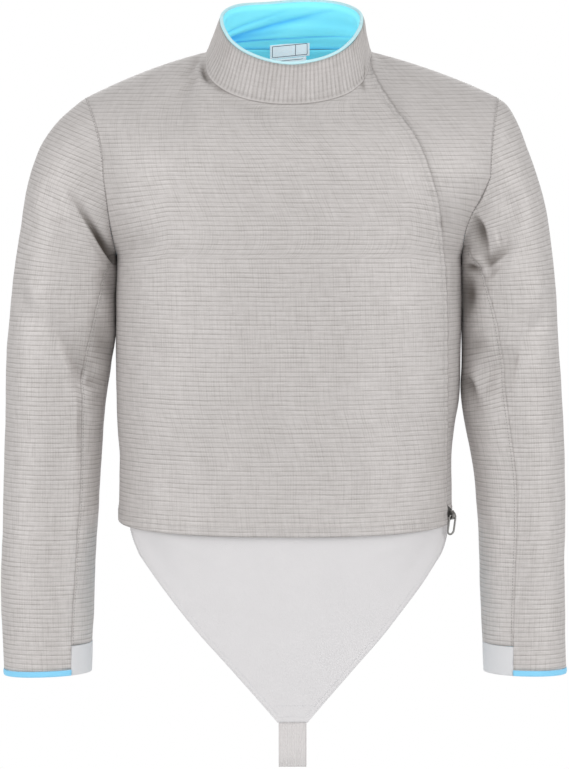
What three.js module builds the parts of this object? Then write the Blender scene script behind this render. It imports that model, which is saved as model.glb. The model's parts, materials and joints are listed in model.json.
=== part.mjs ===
// A sabre fencer's electric jacket, filled out with nobody in it: body, two-piece sleeves, ribbed stand
// collar, white apron with an elastic strap, and a zip on the wearer's left that ends in a ring pull.
// Millimetres, +Z up, +X to the wearer's left, the front faces -Y. The origin is the middle of the neck at
// the height where the shoulder seams reach the collar.
// The body's front and back are each one surface over u, from the wearer's right edge to the left, and v,
// from the hem up: rings to the armpit, rings cut by the armhole to its middle, curves to the top edge.
import * as THREE from "three";

// cloth and seams
const cloth = 1.6;
const collarCloth = 3;
const liningCloth = 1.2;
const elasticCloth = 2;
const labelCloth = 1;
const seamGap = 0.3;
const collarGap = 1;

// a small step for slopes, and how near to an edge still counts as on it
const tiny = 1e-4;
const close = 1e-6;

// body; the handles shape the curves from the armhole's middle to the top edge, and near the neck's corners
// the curves come in from the shoulder's side
const roundHandle = 0.5523;
const neckHandle = 0.2;
const neckLowHandle = 0.45;
const neckRise = 0.33;
const cornerSpread = 24;
const shoulderFall = 0.3;
const sideY = 5;
const roundness = 2.3;
const hem = { z: -557, drop: 13 };
const armhole = { bottomZ: -245, middleZ: -150, reach: 65 };
const shoulderPoint = { right: -241, left: 248, y: 5, z: -56, straight: 0.66 };
const bodyRings = [
  { z: -575, right: 206, left: 196, front: 122, back: 104 },
  { z: -525, right: 204, left: 196, front: 123, back: 103 },
  { z: -486, right: 203.5, left: 195.5, front: 124, back: 102 },
  { z: -447, right: 206, left: 199, front: 126, back: 102 },
  { z: -409, right: 207, left: 205, front: 128, back: 103 },
  { z: -351, right: 208, left: 206, front: 131, back: 107 },
  { z: -298, right: 207, left: 207, front: 134, back: 113 },
  { z: -245, right: 206, left: 206.5, front: 136, back: 118 },
  { z: -217, right: 210, left: 208, front: 137, back: 120 },
  { z: -197, right: 212.5, left: 214, front: 137, back: 121 },
  { z: -175, right: 215, left: 226, front: 136.5, back: 122 },
  { z: -150, right: 218, left: 237, front: 135, back: 122 },
];

// neckline and stand collar: the foot and the top at each angle from the middle of the front
const neckPointAngle = 96;
const collarLean = 3;
const neckline = [
  { angle: 0, footX: 0, footY: -90, footZ: -66, topX: 0, topY: -72, topZ: -20 },
  { angle: 20, footX: 33, footY: -88, footZ: -63.5, topX: 29, topY: -69, topZ: -16 },
  { angle: 40, footX: 64, footY: -81, footZ: -55, topX: 55, topY: -58, topZ: -6 },
  { angle: 57, footX: 83, footY: -70, footZ: -42, topX: 72, topY: -44, topZ: 7 },
  { angle: 70, footX: 91, footY: -54, footZ: -29, topX: 80, topY: -30, topZ: 18 },
  { angle: 82, footX: 95, footY: -30, footZ: -13, topX: 84.5, topY: -16, topZ: 28 },
  { angle: 96, footX: 97, footY: 0, footZ: -2, topX: 85, topY: 2, topZ: 39 },
  { angle: 115, footX: 91, footY: 28, footZ: 3, topX: 78, topY: 20, topZ: 48 },
  { angle: 135, footX: 74, footY: 46, footZ: 5, topX: 61, topY: 35, topZ: 55 },
  { angle: 157, footX: 41, footY: 58, footZ: 6, topX: 34, topY: 46, topZ: 60 },
  { angle: 180, footX: 0, footY: 62, footZ: 6, topX: 0, topY: 50, topZ: 62 },
];
const ribHeight = 0.6;
const ribsPerNeckColumn = 4;
const piping = { radius: 1.3, sides: 6, setBack: 0.002 };

// how far the front laps over the wearer's left side: the edge's distance from the middle at each height
const closureEdge = [
  { z: -575, x: 190 },
  { z: -530, x: 188 },
  { z: -471, x: 187 },
  { z: -341, x: 186 },
  { z: -259, x: 183 },
  { z: -189, x: 175 },
  { z: -143, x: 163 },
  { z: -108, x: 150 },
  { z: -75, x: 129 },
  { z: -44, x: 110 },
  { z: -14, x: 96 },
];
const lapColumns = 1;
const lapRise = 0.45;
const halvings = 30;

// sleeves, from the armhole to the cuff: the inner and outer points of each ring, its middle and half depth
const sleeveRings = {
  right: [
    { inX: 206.5, inZ: -245, outX: 241, outZ: -56, y: 5, depth: 65 },
    { inX: 209, inZ: -249, outX: 254, outZ: -66, y: 5, depth: 65 },
    { inX: 210.5, inZ: -255, outX: 276, outZ: -85, y: 5, depth: 65 },
    { inX: 211, inZ: -263, outX: 296, outZ: -113, y: 5, depth: 65 },
    { inX: 211, inZ: -274, outX: 309, outZ: -148, y: 5, depth: 64.5 },
    { inX: 210.5, inZ: -290, outX: 317, outZ: -188, y: 5, depth: 64 },
    { inX: 210.5, inZ: -312, outX: 325, outZ: -236, y: 5, depth: 63 },
    { inX: 212, inZ: -340, outX: 332, outZ: -288, y: 5, depth: 62 },
    { inX: 215, inZ: -374, outX: 337, outZ: -340, y: 5, depth: 61 },
    { inX: 219, inZ: -412, outX: 339.5, outZ: -392, y: 4, depth: 60 },
    { inX: 223, inZ: -455, outX: 340.5, outZ: -446, y: 2, depth: 58 },
    { inX: 226, inZ: -503, outX: 342, outZ: -502, y: -1, depth: 55 },
    { inX: 229, inZ: -556, outX: 343.5, outZ: -560, y: -5, depth: 52 },
    { inX: 232.5, inZ: -612, outX: 345.5, outZ: -618, y: -9, depth: 49 },
    { inX: 235, inZ: -670, outX: 345.5, outZ: -676, y: -13, depth: 46 },
    { inX: 237, inZ: -742, outX: 342, outZ: -746, y: -18, depth: 42 },
  ],
  left: [
    { inX: 206.5, inZ: -245, outX: 248, outZ: -56, y: 5, depth: 65 },
    { inX: 209, inZ: -249, outX: 261, outZ: -66.5, y: 5, depth: 65 },
    { inX: 210.5, inZ: -255, outX: 274.5, outZ: -90, y: 5, depth: 65 },
    { inX: 210.5, inZ: -263, outX: 285, outZ: -118, y: 5, depth: 65 },
    { inX: 210.5, inZ: -274, outX: 296.5, outZ: -151, y: 5, depth: 64.5 },
    { inX: 210, inZ: -290, outX: 307, outZ: -190, y: 5, depth: 64 },
    { inX: 209.5, inZ: -312, outX: 314, outZ: -238, y: 5, depth: 63 },
    { inX: 209.5, inZ: -340, outX: 320, outZ: -290, y: 5, depth: 62 },
    { inX: 209, inZ: -374, outX: 322.5, outZ: -342, y: 5, depth: 61 },
    { inX: 209, inZ: -412, outX: 327, outZ: -394, y: 4, depth: 60 },
    { inX: 213, inZ: -455, outX: 329, outZ: -447, y: 2, depth: 58 },
    { inX: 222, inZ: -503, outX: 331.5, outZ: -502, y: -1, depth: 55 },
    { inX: 226.5, inZ: -556, outX: 332, outZ: -560, y: -5, depth: 52 },
    { inX: 229, inZ: -612, outX: 330.5, outZ: -618, y: -9, depth: 49 },
    { inX: 231, inZ: -670, outX: 331.5, outZ: -676, y: -13, depth: 46 },
    { inX: 234, inZ: -742, outX: 333, outZ: -748, y: -18, depth: 42 },
  ],
};
const sleeveRoundness = 2.2;
const armholeFade = 0.3;
const foldsFrom = 0.02;

// the under sleeve's two seams, as angles from the ring's inner point, front and back
const sleeveSeams = {
  right: [
    { v: 0, front: 15, back: -30 },
    { v: 0.3, front: 38, back: -48 },
    { v: 0.5, front: 57, back: -62 },
    { v: 0.75, front: 52, back: -68 },
    { v: 1, front: 57, back: -70 },
  ],
  left: [
    { v: 0, front: 30, back: -30 },
    { v: 0.25, front: 48, back: -42 },
    { v: 0.5, front: 76, back: -52 },
    { v: 0.75, front: 83, back: -60 },
    { v: 1, front: 72, back: -66 },
  ],
};

// the sleeves' largest folds: troughs from one place on the sleeve to another, with their width and depth
const sleeveFolds = {
  right: [
    { v0: 0.26, angle0: 118, v1: 0.3, angle1: 28, width: 15, depth: 5 },
    { v0: 0.47, angle0: 140, v1: 0.57, angle1: 62, width: 14, depth: 4.5 },
    { v0: 0.6, angle0: 30, v1: 0.57, angle1: 66, width: 13, depth: 4 },
    { v0: 0.52, angle0: -30, v1: 0.5, angle1: -110, width: 16, depth: 4 },
    { v0: 0.3, angle0: -60, v1: 0.24, angle1: -120, width: 16, depth: 4 },
  ],
  left: [
    { v0: 0.24, angle0: 105, v1: 0.34, angle1: 45, width: 15, depth: 5 },
    { v0: 0.5, angle0: 120, v1: 0.56, angle1: 58, width: 14, depth: 4.5 },
    { v0: 0.62, angle0: 40, v1: 0.56, angle1: 62, width: 13, depth: 3.5 },
    { v0: 0.5, angle0: -40, v1: 0.54, angle1: -115, width: 16, depth: 4 },
    { v0: 0.28, angle0: -55, v1: 0.23, angle1: -125, width: 16, depth: 4 },
  ],
};
const patchHeight = 35;
const trimHeight = 7;
const trimCloth = 2.4;
const trimProud = 0.4;

// apron and its strap
const apron = { topZ: -543, tipZ: -796, inset: 4.4, hangDepth: 76, hangPower: 1.3, columns: 14, rows: 10 };
const apronWidths = [
  { z: -796, half: 18 },
  { z: -765, half: 43.5 },
  { z: -725, half: 77.5 },
  { z: -686, half: 111.5 },
  { z: -647, half: 142.5 },
  { z: -608, half: 171.5 },
  { z: -594, half: 181 },
  { z: -568, half: 190 },
  { z: -543, half: 191 },
];
const strap = { x: 4.2, width: 33, rows: 36 };
const strapRoute = [
  { y: -69.1, z: -780 },
  { y: -69.1, z: -806 },
  { y: -67, z: -846 },
  { y: -57, z: -857 },
  { y: -46, z: -846 },
  { y: -22, z: -790 },
  { y: 26, z: -700 },
  { y: 82, z: -606 },
  { y: 103.5, z: -568 },
  { y: 106, z: -540 },
];

// zip end, slider and ring pull
const zipTape = { start: 0.6, width: 8, cloth: 1.2, flare: 5, setUp: 3 };
const slider = { width: 5, height: 11, body: 3, bridge: 4.4, holeHeight: 3.4, holeDepth: 2.6, corner: 1 };
const sliderSeat = { height: -553, gap: 0.85 };
const ringPull = { width: 9.6, height: 24, radius: 0.9, lean: 8, upperCorner: 2, sides: 8 };

// labels inside the back of the neck
const sizeLabel = { left: -23, right: 25, top: 10, bottom: -7 };
const careLabel = { left: -19, right: 21, top: -7.4, bottom: -36 };
const labelSeat = { gap: 1.8, bend: 0.0022, columns: 6 };

// how finely the surfaces are stepped
const rowsToArmpit = 6;
const rowsPerQuarter = 6;
const shoulderColumns = 8;
const neckColumns = 14;
const sleeveRows = 20;
const cuffRows = 2;
const topSleeveStep = 15;
const underSleeveStep = 7.5;
const backLining = { column: 6, rows: 4 };

const bodyRows = rowsToArmpit + 2 * rowsPerQuarter;
const armpitV = rowsToArmpit / bodyRows;
const middleV = (rowsToArmpit + rowsPerQuarter) / bodyRows;
const bodyColumns = 2 * shoulderColumns + neckColumns;
const neckCornerU = shoulderColumns / bodyColumns;
const fullTurn = 360;

const { lerp, clamp, degToRad } = THREE.MathUtils;
const point = (x, y, z) => new THREE.Vector3(x, y, z);
const signedPower = (value, power) => Math.sign(value) * Math.abs(value) ** power;

// reads a table smoothly: cubic pieces between its rows, in every column but the key
function smoothTable(rows, key) {
  const slope = (column, i) => {
    const before = rows[Math.max(i - 1, 0)];
    const after = rows[Math.min(i + 1, rows.length - 1)];
    return (after[column] - before[column]) / (after[key] - before[key]);
  };
  return (column, at) => {
    let i = 0;
    while (i < rows.length - 2 && at > rows[i + 1][key]) i += 1;
    const span = rows[i + 1][key] - rows[i][key];
    const t = clamp((at - rows[i][key]) / span, 0, 1);
    const [a, b] = [rows[i][column], rows[i + 1][column]];
    const [slopeA, slopeB] = [slope(column, i) * span, slope(column, i + 1) * span];
    const [t2, t3] = [t * t, t * t * t];
    const [risen, bow, sag] = [3 * t2 - 2 * t3, t3 - 2 * t2 + t, t3 - t2];
    return a * (1 - risen) + b * risen + slopeA * bow + slopeB * sag;
  };
}

const bodyAt = smoothTable(bodyRings, "z");
const mirrored = (row, angle) => ({ ...row, angle, footX: -row.footX, topX: -row.topX });
const neckAt = smoothTable([
  mirrored(neckline[1], -neckline[1].angle), ...neckline,
  mirrored(neckline.at(-2), 360 - neckline.at(-2).angle),
], "angle");
const closureAt = smoothTable(closureEdge, "z");
const apronAt = smoothTable(apronWidths, "z");

// a point of the collar: angle from the middle of the front, positive to the wearer's right; height 0 to 1
function collarPoint(angle, height) {
  const wrapped = ((angle + 180 + 2 * fullTurn) % fullTurn) - 180;
  const fold = Math.abs(wrapped);
  const across = lerp(neckAt("footX", fold), neckAt("topX", fold), height);
  return point(
    (wrapped > 0 ? -across : across) + collarLean * height,
    lerp(neckAt("footY", fold), neckAt("topY", fold), height),
    lerp(neckAt("footZ", fold), neckAt("topZ", fold), height)
  );
}

// a point of the body's top edge: along one shoulder seam, the neckline, then the other shoulder seam
function topPoint(face, u) {
  const front = face === "front";
  if (u > neckCornerU && u < 1 - neckCornerU) {
    const along = (u - neckCornerU) / (1 - 2 * neckCornerU);
    const half = front ? neckPointAngle : neckPointAngle - fullTurn / 2;
    return collarPoint((front ? 0 : fullTurn / 2) + half * (1 - 2 * along), 0);
  }
  const side = u < 0.5 ? 1 : -1;
  const neck = collarPoint(side * neckPointAngle, 0);
  const out = (side > 0 ? neckCornerU - u : u - (1 - neckCornerU)) / neckCornerU;
  const slope = shoulderPoint.straight * out + (1 - shoulderPoint.straight) * out * out;
  const tipX = side > 0 ? shoulderPoint.right : shoulderPoint.left;
  const [x, y] = [lerp(neck.x, tipX, out), lerp(neck.y, shoulderPoint.y, out)];
  return point(x, y, lerp(neck.z, shoulderPoint.z, slope));
}

// a point of a ring below the armhole's middle: a rounded oval, cut where the armhole's edge crosses it
function ringPoint(face, u, v) {
  const quarter = clamp((v - armpitV) / (middleV - armpitV), 0, 1) * (Math.PI / 2);
  const power = 2 / roundness;
  const levelZ = armhole.middleZ - (armhole.middleZ - armhole.bottomZ) * Math.cos(quarter);
  const depth = bodyAt(face, v < armpitV ? lerp(hem.z, armhole.bottomZ, v / armpitV) : levelZ);
  const edge = Math.asin((armhole.reach * Math.sin(quarter) / depth) ** (1 / power));
  const turn = lerp(edge, Math.PI - edge, u);
  const hemZ = hem.z - hem.drop * Math.sqrt(Math.max(Math.sin(turn), 0));
  const z = v < armpitV ? lerp(hemZ, armhole.bottomZ, v / armpitV) : levelZ;
  const seamX = bodyAt(turn < Math.PI / 2 ? "right" : "left", z) / Math.cos(edge) ** power;
  const out = depth * Math.max(Math.sin(turn), 0) ** power;
  return point(-seamX * signedPower(Math.cos(turn), power), sideY + (face === "front" ? -out : out), z);
}

// a point of the body's front or back; near the neck the shoulder turns over more sharply
function bodyPoint(face, u, v) {
  if (v <= middleV) return ringPoint(face, u, v);
  const low = ringPoint(face, u, middleV);
  const high = topPoint(face, u);
  const fromEdge = 0.5 - Math.abs(u - 0.5);
  const out = clamp(1 - fromEdge / neckCornerU, 0, 1);
  const inside = clamp((fromEdge - neckCornerU) / (0.5 - neckCornerU), 0, 1);
  const handle = lerp(lerp(neckHandle, roundHandle, out ** 0.7), roundHandle, inside);
  const rise = neckRise * Math.sin((inside * Math.PI) / 2);
  const lowHandle = point(low.x, low.y, lerp(low.z, high.z, lerp(roundHandle, neckLowHandle, 1 - out)));
  const spread = cornerSpread * (1 - out) ** 2 * (1 - inside) ** 2;
  const highHandle = point(
    high.x + (u < 0.5 ? -spread : spread),
    lerp(high.y, low.y, handle),
    lerp(high.z, low.z, rise) - shoulderFall * spread
  );
  const curve = new THREE.CubicBezierCurve3(low, lowHandle, highHandle, high);
  return curve.getPoint((v - middleV) / (1 - middleV));
}

// the u of the front's lapped edge at a row, found by halving
function closureU(v) {
  let [low, high] = [0.5, 1];
  for (let step = 0; step < halvings; step += 1) {
    const middle = (low + high) / 2;
    const at = bodyPoint("front", middle, v);
    if (at.x < closureAt("x", at.z)) low = middle;
    else high = middle;
  }
  return v > 1 - close ? (shoulderColumns + neckColumns - lapColumns) / bodyColumns : low;
}

// a closed wall from a surface: its points, and the same points moved inwards along the surface's normals;
// cutStraight picks points whose normals keep to the X-Z plane, where two walls meet over a ridge, and
// goesOn says that the surface continues past both its sides, as round a sleeve; cutDown turns the top
// edge's thickness downwards, under what stands on it
function makeWall(surface, options) {
  const { columns, rows, thickness, facing, offset = 0, inset = {}, raise = () => 0 } = options;
  const { cutStraight = () => false, goesOn = false, cutDown = false } = options;
  const normalAt = (s, v) => {
    const [s0, s1] = goesOn ? [s - tiny, s + tiny] : [Math.max(s - tiny, 0), Math.min(s + tiny, 1)];
    const [v0, v1] = [Math.max(v - tiny, 0), Math.min(v + tiny, 1)];
    const across = surface(s1, v).sub(surface(s0, v));
    const along = surface(s, v1).sub(surface(s, v0));
    return across.cross(along).normalize();
  };
  const sign = normalAt(0.5, 0.5).dot(facing) > 0 ? 1 : -1;
  const grid = [];
  for (let j = 0; j <= rows; j += 1) {
    for (let i = 0; i <= columns; i += 1) {
      const [s, v] = [i / columns, j / rows];
      const normal = normalAt(s, v).multiplyScalar(sign);
      if (cutStraight(s, v)) normal.setY(0).normalize();
      if (cutDown && v === 1 && !cutStraight(s, v)) normal.add(point(0, 0, 1)).normalize();
      grid.push({ place: surface(s, v), normal });
    }
  }
  const at = (i, j) => j * (columns + 1) + i;
  const places = grid.map((node) => node.place.clone());
  const pull = (from, to, distance) => {
    const step = places[to].clone().sub(places[from]).setLength(distance);
    grid[from].place.add(step);
  };
  for (let j = 0; j <= rows; j += 1) {
    if (inset.start) pull(at(0, j), at(1, j), inset.start);
    if (inset.end) pull(at(columns, j), at(columns - 1, j), inset.end);
  }
  for (let i = 0; i <= columns; i += 1) {
    if (inset.low) pull(at(i, 0), at(i, 1), inset.low);
    if (inset.high) pull(at(i, rows), at(i, rows - 1), inset.high);
  }
  const count = grid.length;
  const positions = [];
  const moved = (depthAt) => {
    grid.forEach(({ place, normal }, index) => {
      const i = index % (columns + 1);
      const j = (index - i) / (columns + 1);
      positions.push(...place.clone().addScaledVector(normal, depthAt(i / columns, j / rows)));
    });
  };
  moved((s, v) => offset + raise(s, v));
  moved(() => offset - thickness);
  const faces = [];
  const quad = (a, b, c, d) => faces.push(a, b, c, a, c, d);
  for (let j = 0; j < rows; j += 1) {
    for (let i = 0; i < columns; i += 1) {
      quad(at(i, j), at(i + 1, j), at(i + 1, j + 1), at(i, j + 1));
      quad(count + at(i, j), count + at(i, j + 1), count + at(i + 1, j + 1), count + at(i + 1, j));
    }
  }
  const rim = [];
  for (let i = 0; i < columns; i += 1) rim.push(at(i, 0));
  for (let j = 0; j < rows; j += 1) rim.push(at(columns, j));
  for (let i = columns; i > 0; i -= 1) rim.push(at(i, rows));
  for (let j = rows; j > 0; j -= 1) rim.push(at(0, j));
  rim.forEach((a, k) => {
    const b = rim[(k + 1) % rim.length];
    quad(b, a, count + a, count + b);
  });
  if (sign < 0) {
    for (let k = 0; k < faces.length; k += 3) [faces[k + 1], faces[k + 2]] = [faces[k + 2], faces[k + 1]];
  }
  const geometry = new THREE.BufferGeometry();
  geometry.setAttribute("position", new THREE.Float32BufferAttribute(positions, 3));
  geometry.setIndex(faces);
  return geometry;
}

// a round bar along a path of points, open with flat ends or closed on itself
function makeBar(path, radius, sides, closed, axis) {
  const positions = [];
  const faces = [];
  path.forEach((centre, k) => {
    const before = path[closed ? (k + path.length - 1) % path.length : Math.max(k - 1, 0)];
    const after = path[closed ? (k + 1) % path.length : Math.min(k + 1, path.length - 1)];
    const along = after.clone().sub(before).normalize();
    const across = axis.clone().cross(along).normalize();
    const up = along.clone().cross(across);
    for (let i = 0; i < sides; i += 1) {
      const turn = (i * 2 * Math.PI) / sides;
      const place = centre.clone().addScaledVector(across, radius * Math.cos(turn));
      positions.push(...place.addScaledVector(up, radius * Math.sin(turn)));
    }
  });
  const last = closed ? path.length : path.length - 1;
  for (let k = 0; k < last; k += 1) {
    for (let i = 0; i < sides; i += 1) {
      const [a, b] = [k * sides + i, k * sides + ((i + 1) % sides)];
      const next = ((k + 1) % path.length) * sides;
      const [c, d] = [next + ((i + 1) % sides), next + i];
      faces.push(a, b, c, a, c, d);
    }
  }
  for (let i = 1; !closed && i < sides - 1; i += 1) {
    const end = (path.length - 1) * sides;
    faces.push(0, i + 1, i, end, end + i, end + i + 1);
  }
  const geometry = new THREE.BufferGeometry();
  geometry.setAttribute("position", new THREE.Float32BufferAttribute(positions, 3));
  geometry.setIndex(faces);
  return geometry;
}

const finishes = {
  lame: { color: 0xc3bfbc, roughness: 0.55, metalness: 0.35 },
  lining: { color: 0x7fdcf8, roughness: 0.8, metalness: 0 },
  trim: { color: 0x96d9f2, roughness: 0.75, metalness: 0 },
  apron: { color: 0xe2e2e4, roughness: 0.85, metalness: 0 },
  elastic: { color: 0xd6d2d2, roughness: 0.85, metalness: 0 },
  label: { color: 0xf4f5f6, roughness: 0.6, metalness: 0 },
  tape: { color: 0x55524f, roughness: 0.8, metalness: 0 },
  metal: { color: 0x8d8c88, roughness: 0.35, metalness: 0.9 },
};

const lameJacket = new THREE.Group();

function addNode(name, geometry, finish) {
  const mesh = new THREE.Mesh(geometry, new THREE.MeshStandardMaterial(finishes[finish]));
  mesh.name = name;
  lameJacket.add(mesh);
}

// body panels: the front laps over the side front, which lies just inside it and rises to it at its seams
const half = seamGap / 2;
const panelInset = { start: half, end: half, high: half };
const frontColumns = shoulderColumns + neckColumns - lapColumns;
const sideColumns = shoulderColumns + 2 * lapColumns;
const lapDepth = cloth + seamGap;
const onShoulderSeam = (u, v) => v > 1 - close && Math.abs(u - 0.5) > 0.5 - neckCornerU - close;
const frontPoint = (s, v) => bodyPoint("front", s * closureU(v), v);

// the lap lies under the front's last column, so that the two walls follow each other
function sideFrontU(s, v) {
  const lap = lapColumns / sideColumns;
  const edge = closureU(v);
  if (s >= lap) return lerp(edge, 1, (s - lap) / (1 - lap));
  return lerp(edge * (1 - lapColumns / frontColumns), edge, s / lap);
}

function underlapPoint(s, v) {
  const u = sideFrontU(s, v);
  const [above, below] = [Math.min(v + tiny, 1), Math.max(v - tiny, 0)];
  const across = bodyPoint("front", Math.min(u + tiny, 1), v).sub(bodyPoint("front", u - tiny, v));
  const along = bodyPoint("front", u, above).sub(bodyPoint("front", u, below));
  const rise = THREE.MathUtils.smoothstep(s, lapRise, 1);
  return bodyPoint("front", u, v).addScaledVector(across.cross(along).normalize(), -lapDepth * (1 - rise));
}

addNode("front_panel", makeWall(frontPoint, {
  columns: frontColumns, rows: bodyRows, thickness: cloth,
  facing: point(0, -1, 0), inset: { start: half, high: half },
  cutStraight: (s, v) => onShoulderSeam(s * closureU(v), v), cutDown: true,
}), "lame");
addNode("side_front_panel", makeWall(underlapPoint, {
  columns: sideColumns, rows: bodyRows, thickness: cloth,
  facing: point(1, -1, 0), inset: { end: half, high: half },
  cutStraight: (s, v) => onShoulderSeam(sideFrontU(s, v), v), cutDown: true,
}), "lame");
addNode("back_panel", makeWall((s, v) => bodyPoint("back", s, v), {
  columns: bodyColumns, rows: bodyRows, thickness: cloth, facing: point(0, 1, 0), inset: panelInset,
  cutStraight: onShoulderSeam, cutDown: true,
}), "lame");

// the collar runs from the closure round the front and back of the neck, its foot on the neckline's corners
const closureAngle = neckPointAngle * (2 / neckColumns - 1);
const collarColumns = 2 * neckColumns;
const neckCorner = (k) => {
  const front = neckColumns - lapColumns;
  const frontStep = (2 * neckPointAngle) / neckColumns;
  const backStep = (fullTurn - 2 * neckPointAngle) / neckColumns;
  if (k <= front) return closureAngle + k * frontStep;
  const back = Math.min(k - front, neckColumns);
  return neckPointAngle + back * backStep + (k - front - back) * frontStep;
};
function collarSurface(s, height) {
  const at = s * collarColumns;
  const corner = Math.min(Math.floor(at + close), collarColumns - 1);
  const [from, to] = [neckCorner(corner), neckCorner(corner + 1)];
  const foot = collarPoint(from, 0).lerp(collarPoint(to, 0), at - corner);
  return foot.lerp(collarPoint(lerp(from, to, at - corner), 1), height);
}
const ribSteps = collarColumns * ribsPerNeckColumn * 2;
const ribRaise = (s, v) => (v > 0 ? ribHeight * (Math.round(s * ribSteps) % 2) : 0);
addNode("collar", makeWall(collarSurface, {
  columns: ribSteps, rows: 2, thickness: collarCloth, facing: collarSurface(0.5, 0.5).setZ(0),
  inset: { start: half, end: half, low: collarGap }, raise: ribRaise,
}), "lame");
const insideCollar = -(collarCloth + seamGap);
addNode("collar_lining", makeWall(collarSurface, {
  columns: collarColumns * 2, rows: 2, thickness: liningCloth, facing: collarSurface(0.5, 0.5).setZ(0),
  offset: insideCollar, inset: { start: half, end: half, low: collarGap },
}), "lining");
const pipingRoute = [];
for (let k = 0; k <= collarColumns * 2; k += 1) {
  const turn = clamp(k / (collarColumns * 2), piping.setBack, 1 - piping.setBack);
  const rim = collarSurface(turn, 1);
  const inwards = rim.clone().setZ(0).setLength(-(collarCloth + seamGap + liningCloth) / 2);
  pipingRoute.push(rim.add(inwards).add(point(0, 0, piping.radius + seamGap)));
}
const pipingBar = makeBar(pipingRoute, piping.radius, piping.sides, false, point(0, 0, 1));
addNode("collar_piping", pipingBar, "trim");

// the lining that shows inside the back of the neck
const backLiningU = (s) => lerp(backLining.column, bodyColumns - backLining.column, s) / bodyColumns;
const backLiningV = (v) => 1 - ((1 - v) * backLining.rows) / bodyRows;
const backLiningPoint = (s, v) => bodyPoint("back", backLiningU(s), backLiningV(v));
addNode("back_lining", makeWall(backLiningPoint, {
  columns: bodyColumns - 2 * backLining.column, rows: backLining.rows, thickness: liningCloth,
  facing: point(0, 1, 0), offset: -(cloth + 2 * seamGap), inset: { high: 1 },
  cutStraight: (s, v) => onShoulderSeam(backLiningU(s), v),
}), "lining");

// sleeves: the first ring is the armhole itself, and its own shape fades out along the sleeve
function armholePoint(side, angle) {
  const steps = (Math.abs(angle) / 180) * 2 * rowsPerQuarter;
  const [face, edge] = [angle < 0 ? "back" : "front", side === "right" ? 0 : 1];
  const rowPoint = (row) => bodyPoint(face, edge, (rowsToArmpit + row) / bodyRows);
  const row = Math.min(Math.floor(steps + close), 2 * rowsPerQuarter - 1);
  return rowPoint(row).lerp(rowPoint(row + 1), steps - row);
}

function ovalPoint(side, ring, angle) {
  const turn = degToRad(angle);
  const power = 2 / sleeveRoundness;
  const [middleX, middleZ] = [(ring.inX + ring.outX) / 2, (ring.inZ + ring.outZ) / 2];
  const reach = signedPower(Math.cos(turn), power);
  const x = middleX + (ring.inX - middleX) * reach;
  const y = ring.y - ring.depth * signedPower(Math.sin(turn), power);
  return point(side === "right" ? -x : x, y, middleZ + (ring.inZ - middleZ) * reach);
}

const ringTables = {};
const seamTables = {};
for (const side of ["right", "left"]) {
  const rings = sleeveRings[side].map((ring, k) => ({ k, ...ring }));
  ringTables[side] = smoothTable(rings, "k");
  seamTables[side] = smoothTable(sleeveSeams[side], "v");
}

function sleeveRing(side, v) {
  const k = v * (sleeveRings[side].length - 1);
  const names = ["inX", "inZ", "outX", "outZ", "y", "depth"];
  return Object.fromEntries(names.map((name) => [name, ringTables[side](name, k)]));
}

function plainSleevePoint(side, angle, v) {
  const place = ovalPoint(side, sleeveRing(side, v), angle);
  if (v >= armholeFade) return place;
  const wrapped = ((angle + 180 + fullTurn) % fullTurn) - 180;
  const own = armholePoint(side, wrapped).sub(ovalPoint(side, sleeveRings[side][0], angle));
  return place.addScaledVector(own, (1 - v / armholeFade) ** 2);
}

// how far the folds push in at a place: each is a soft trough along a line over the sleeve
function foldDepth(place, lines) {
  let total = 0;
  for (const { line, width, depth } of lines) {
    const near = line.closestPointToPoint(place, true, point(0, 0, 0));
    total += depth * Math.exp(-((near.distanceTo(place) / width) ** 2));
  }
  return total;
}
const foldLines = {};
for (const side of ["right", "left"]) {
  foldLines[side] = sleeveFolds[side].map((fold) => ({
    line: new THREE.Line3(
      plainSleevePoint(side, fold.angle0, fold.v0),
      plainSleevePoint(side, fold.angle1, fold.v1)
    ),
    ...fold,
  }));
}

function sleevePoint(side, angle, v) {
  const place = plainSleevePoint(side, angle, v);
  const ring = sleeveRing(side, v);
  const middle = point((ring.inX + ring.outX) / 2, ring.y, (ring.inZ + ring.outZ) / 2);
  if (side === "right") middle.x *= -1;
  const depth = v < foldsFrom ? 0 : foldDepth(place, foldLines[side]);
  return place.add(middle.sub(place).setLength(depth));
}

// the v at which the sleeve's end is so far below, along its length
function endV(side, height) {
  const rings = sleeveRings[side];
  const last = rings.length - 1;
  return 1 - height / (rings[last - 1].inZ - rings[last].inZ) / last;
}

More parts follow.
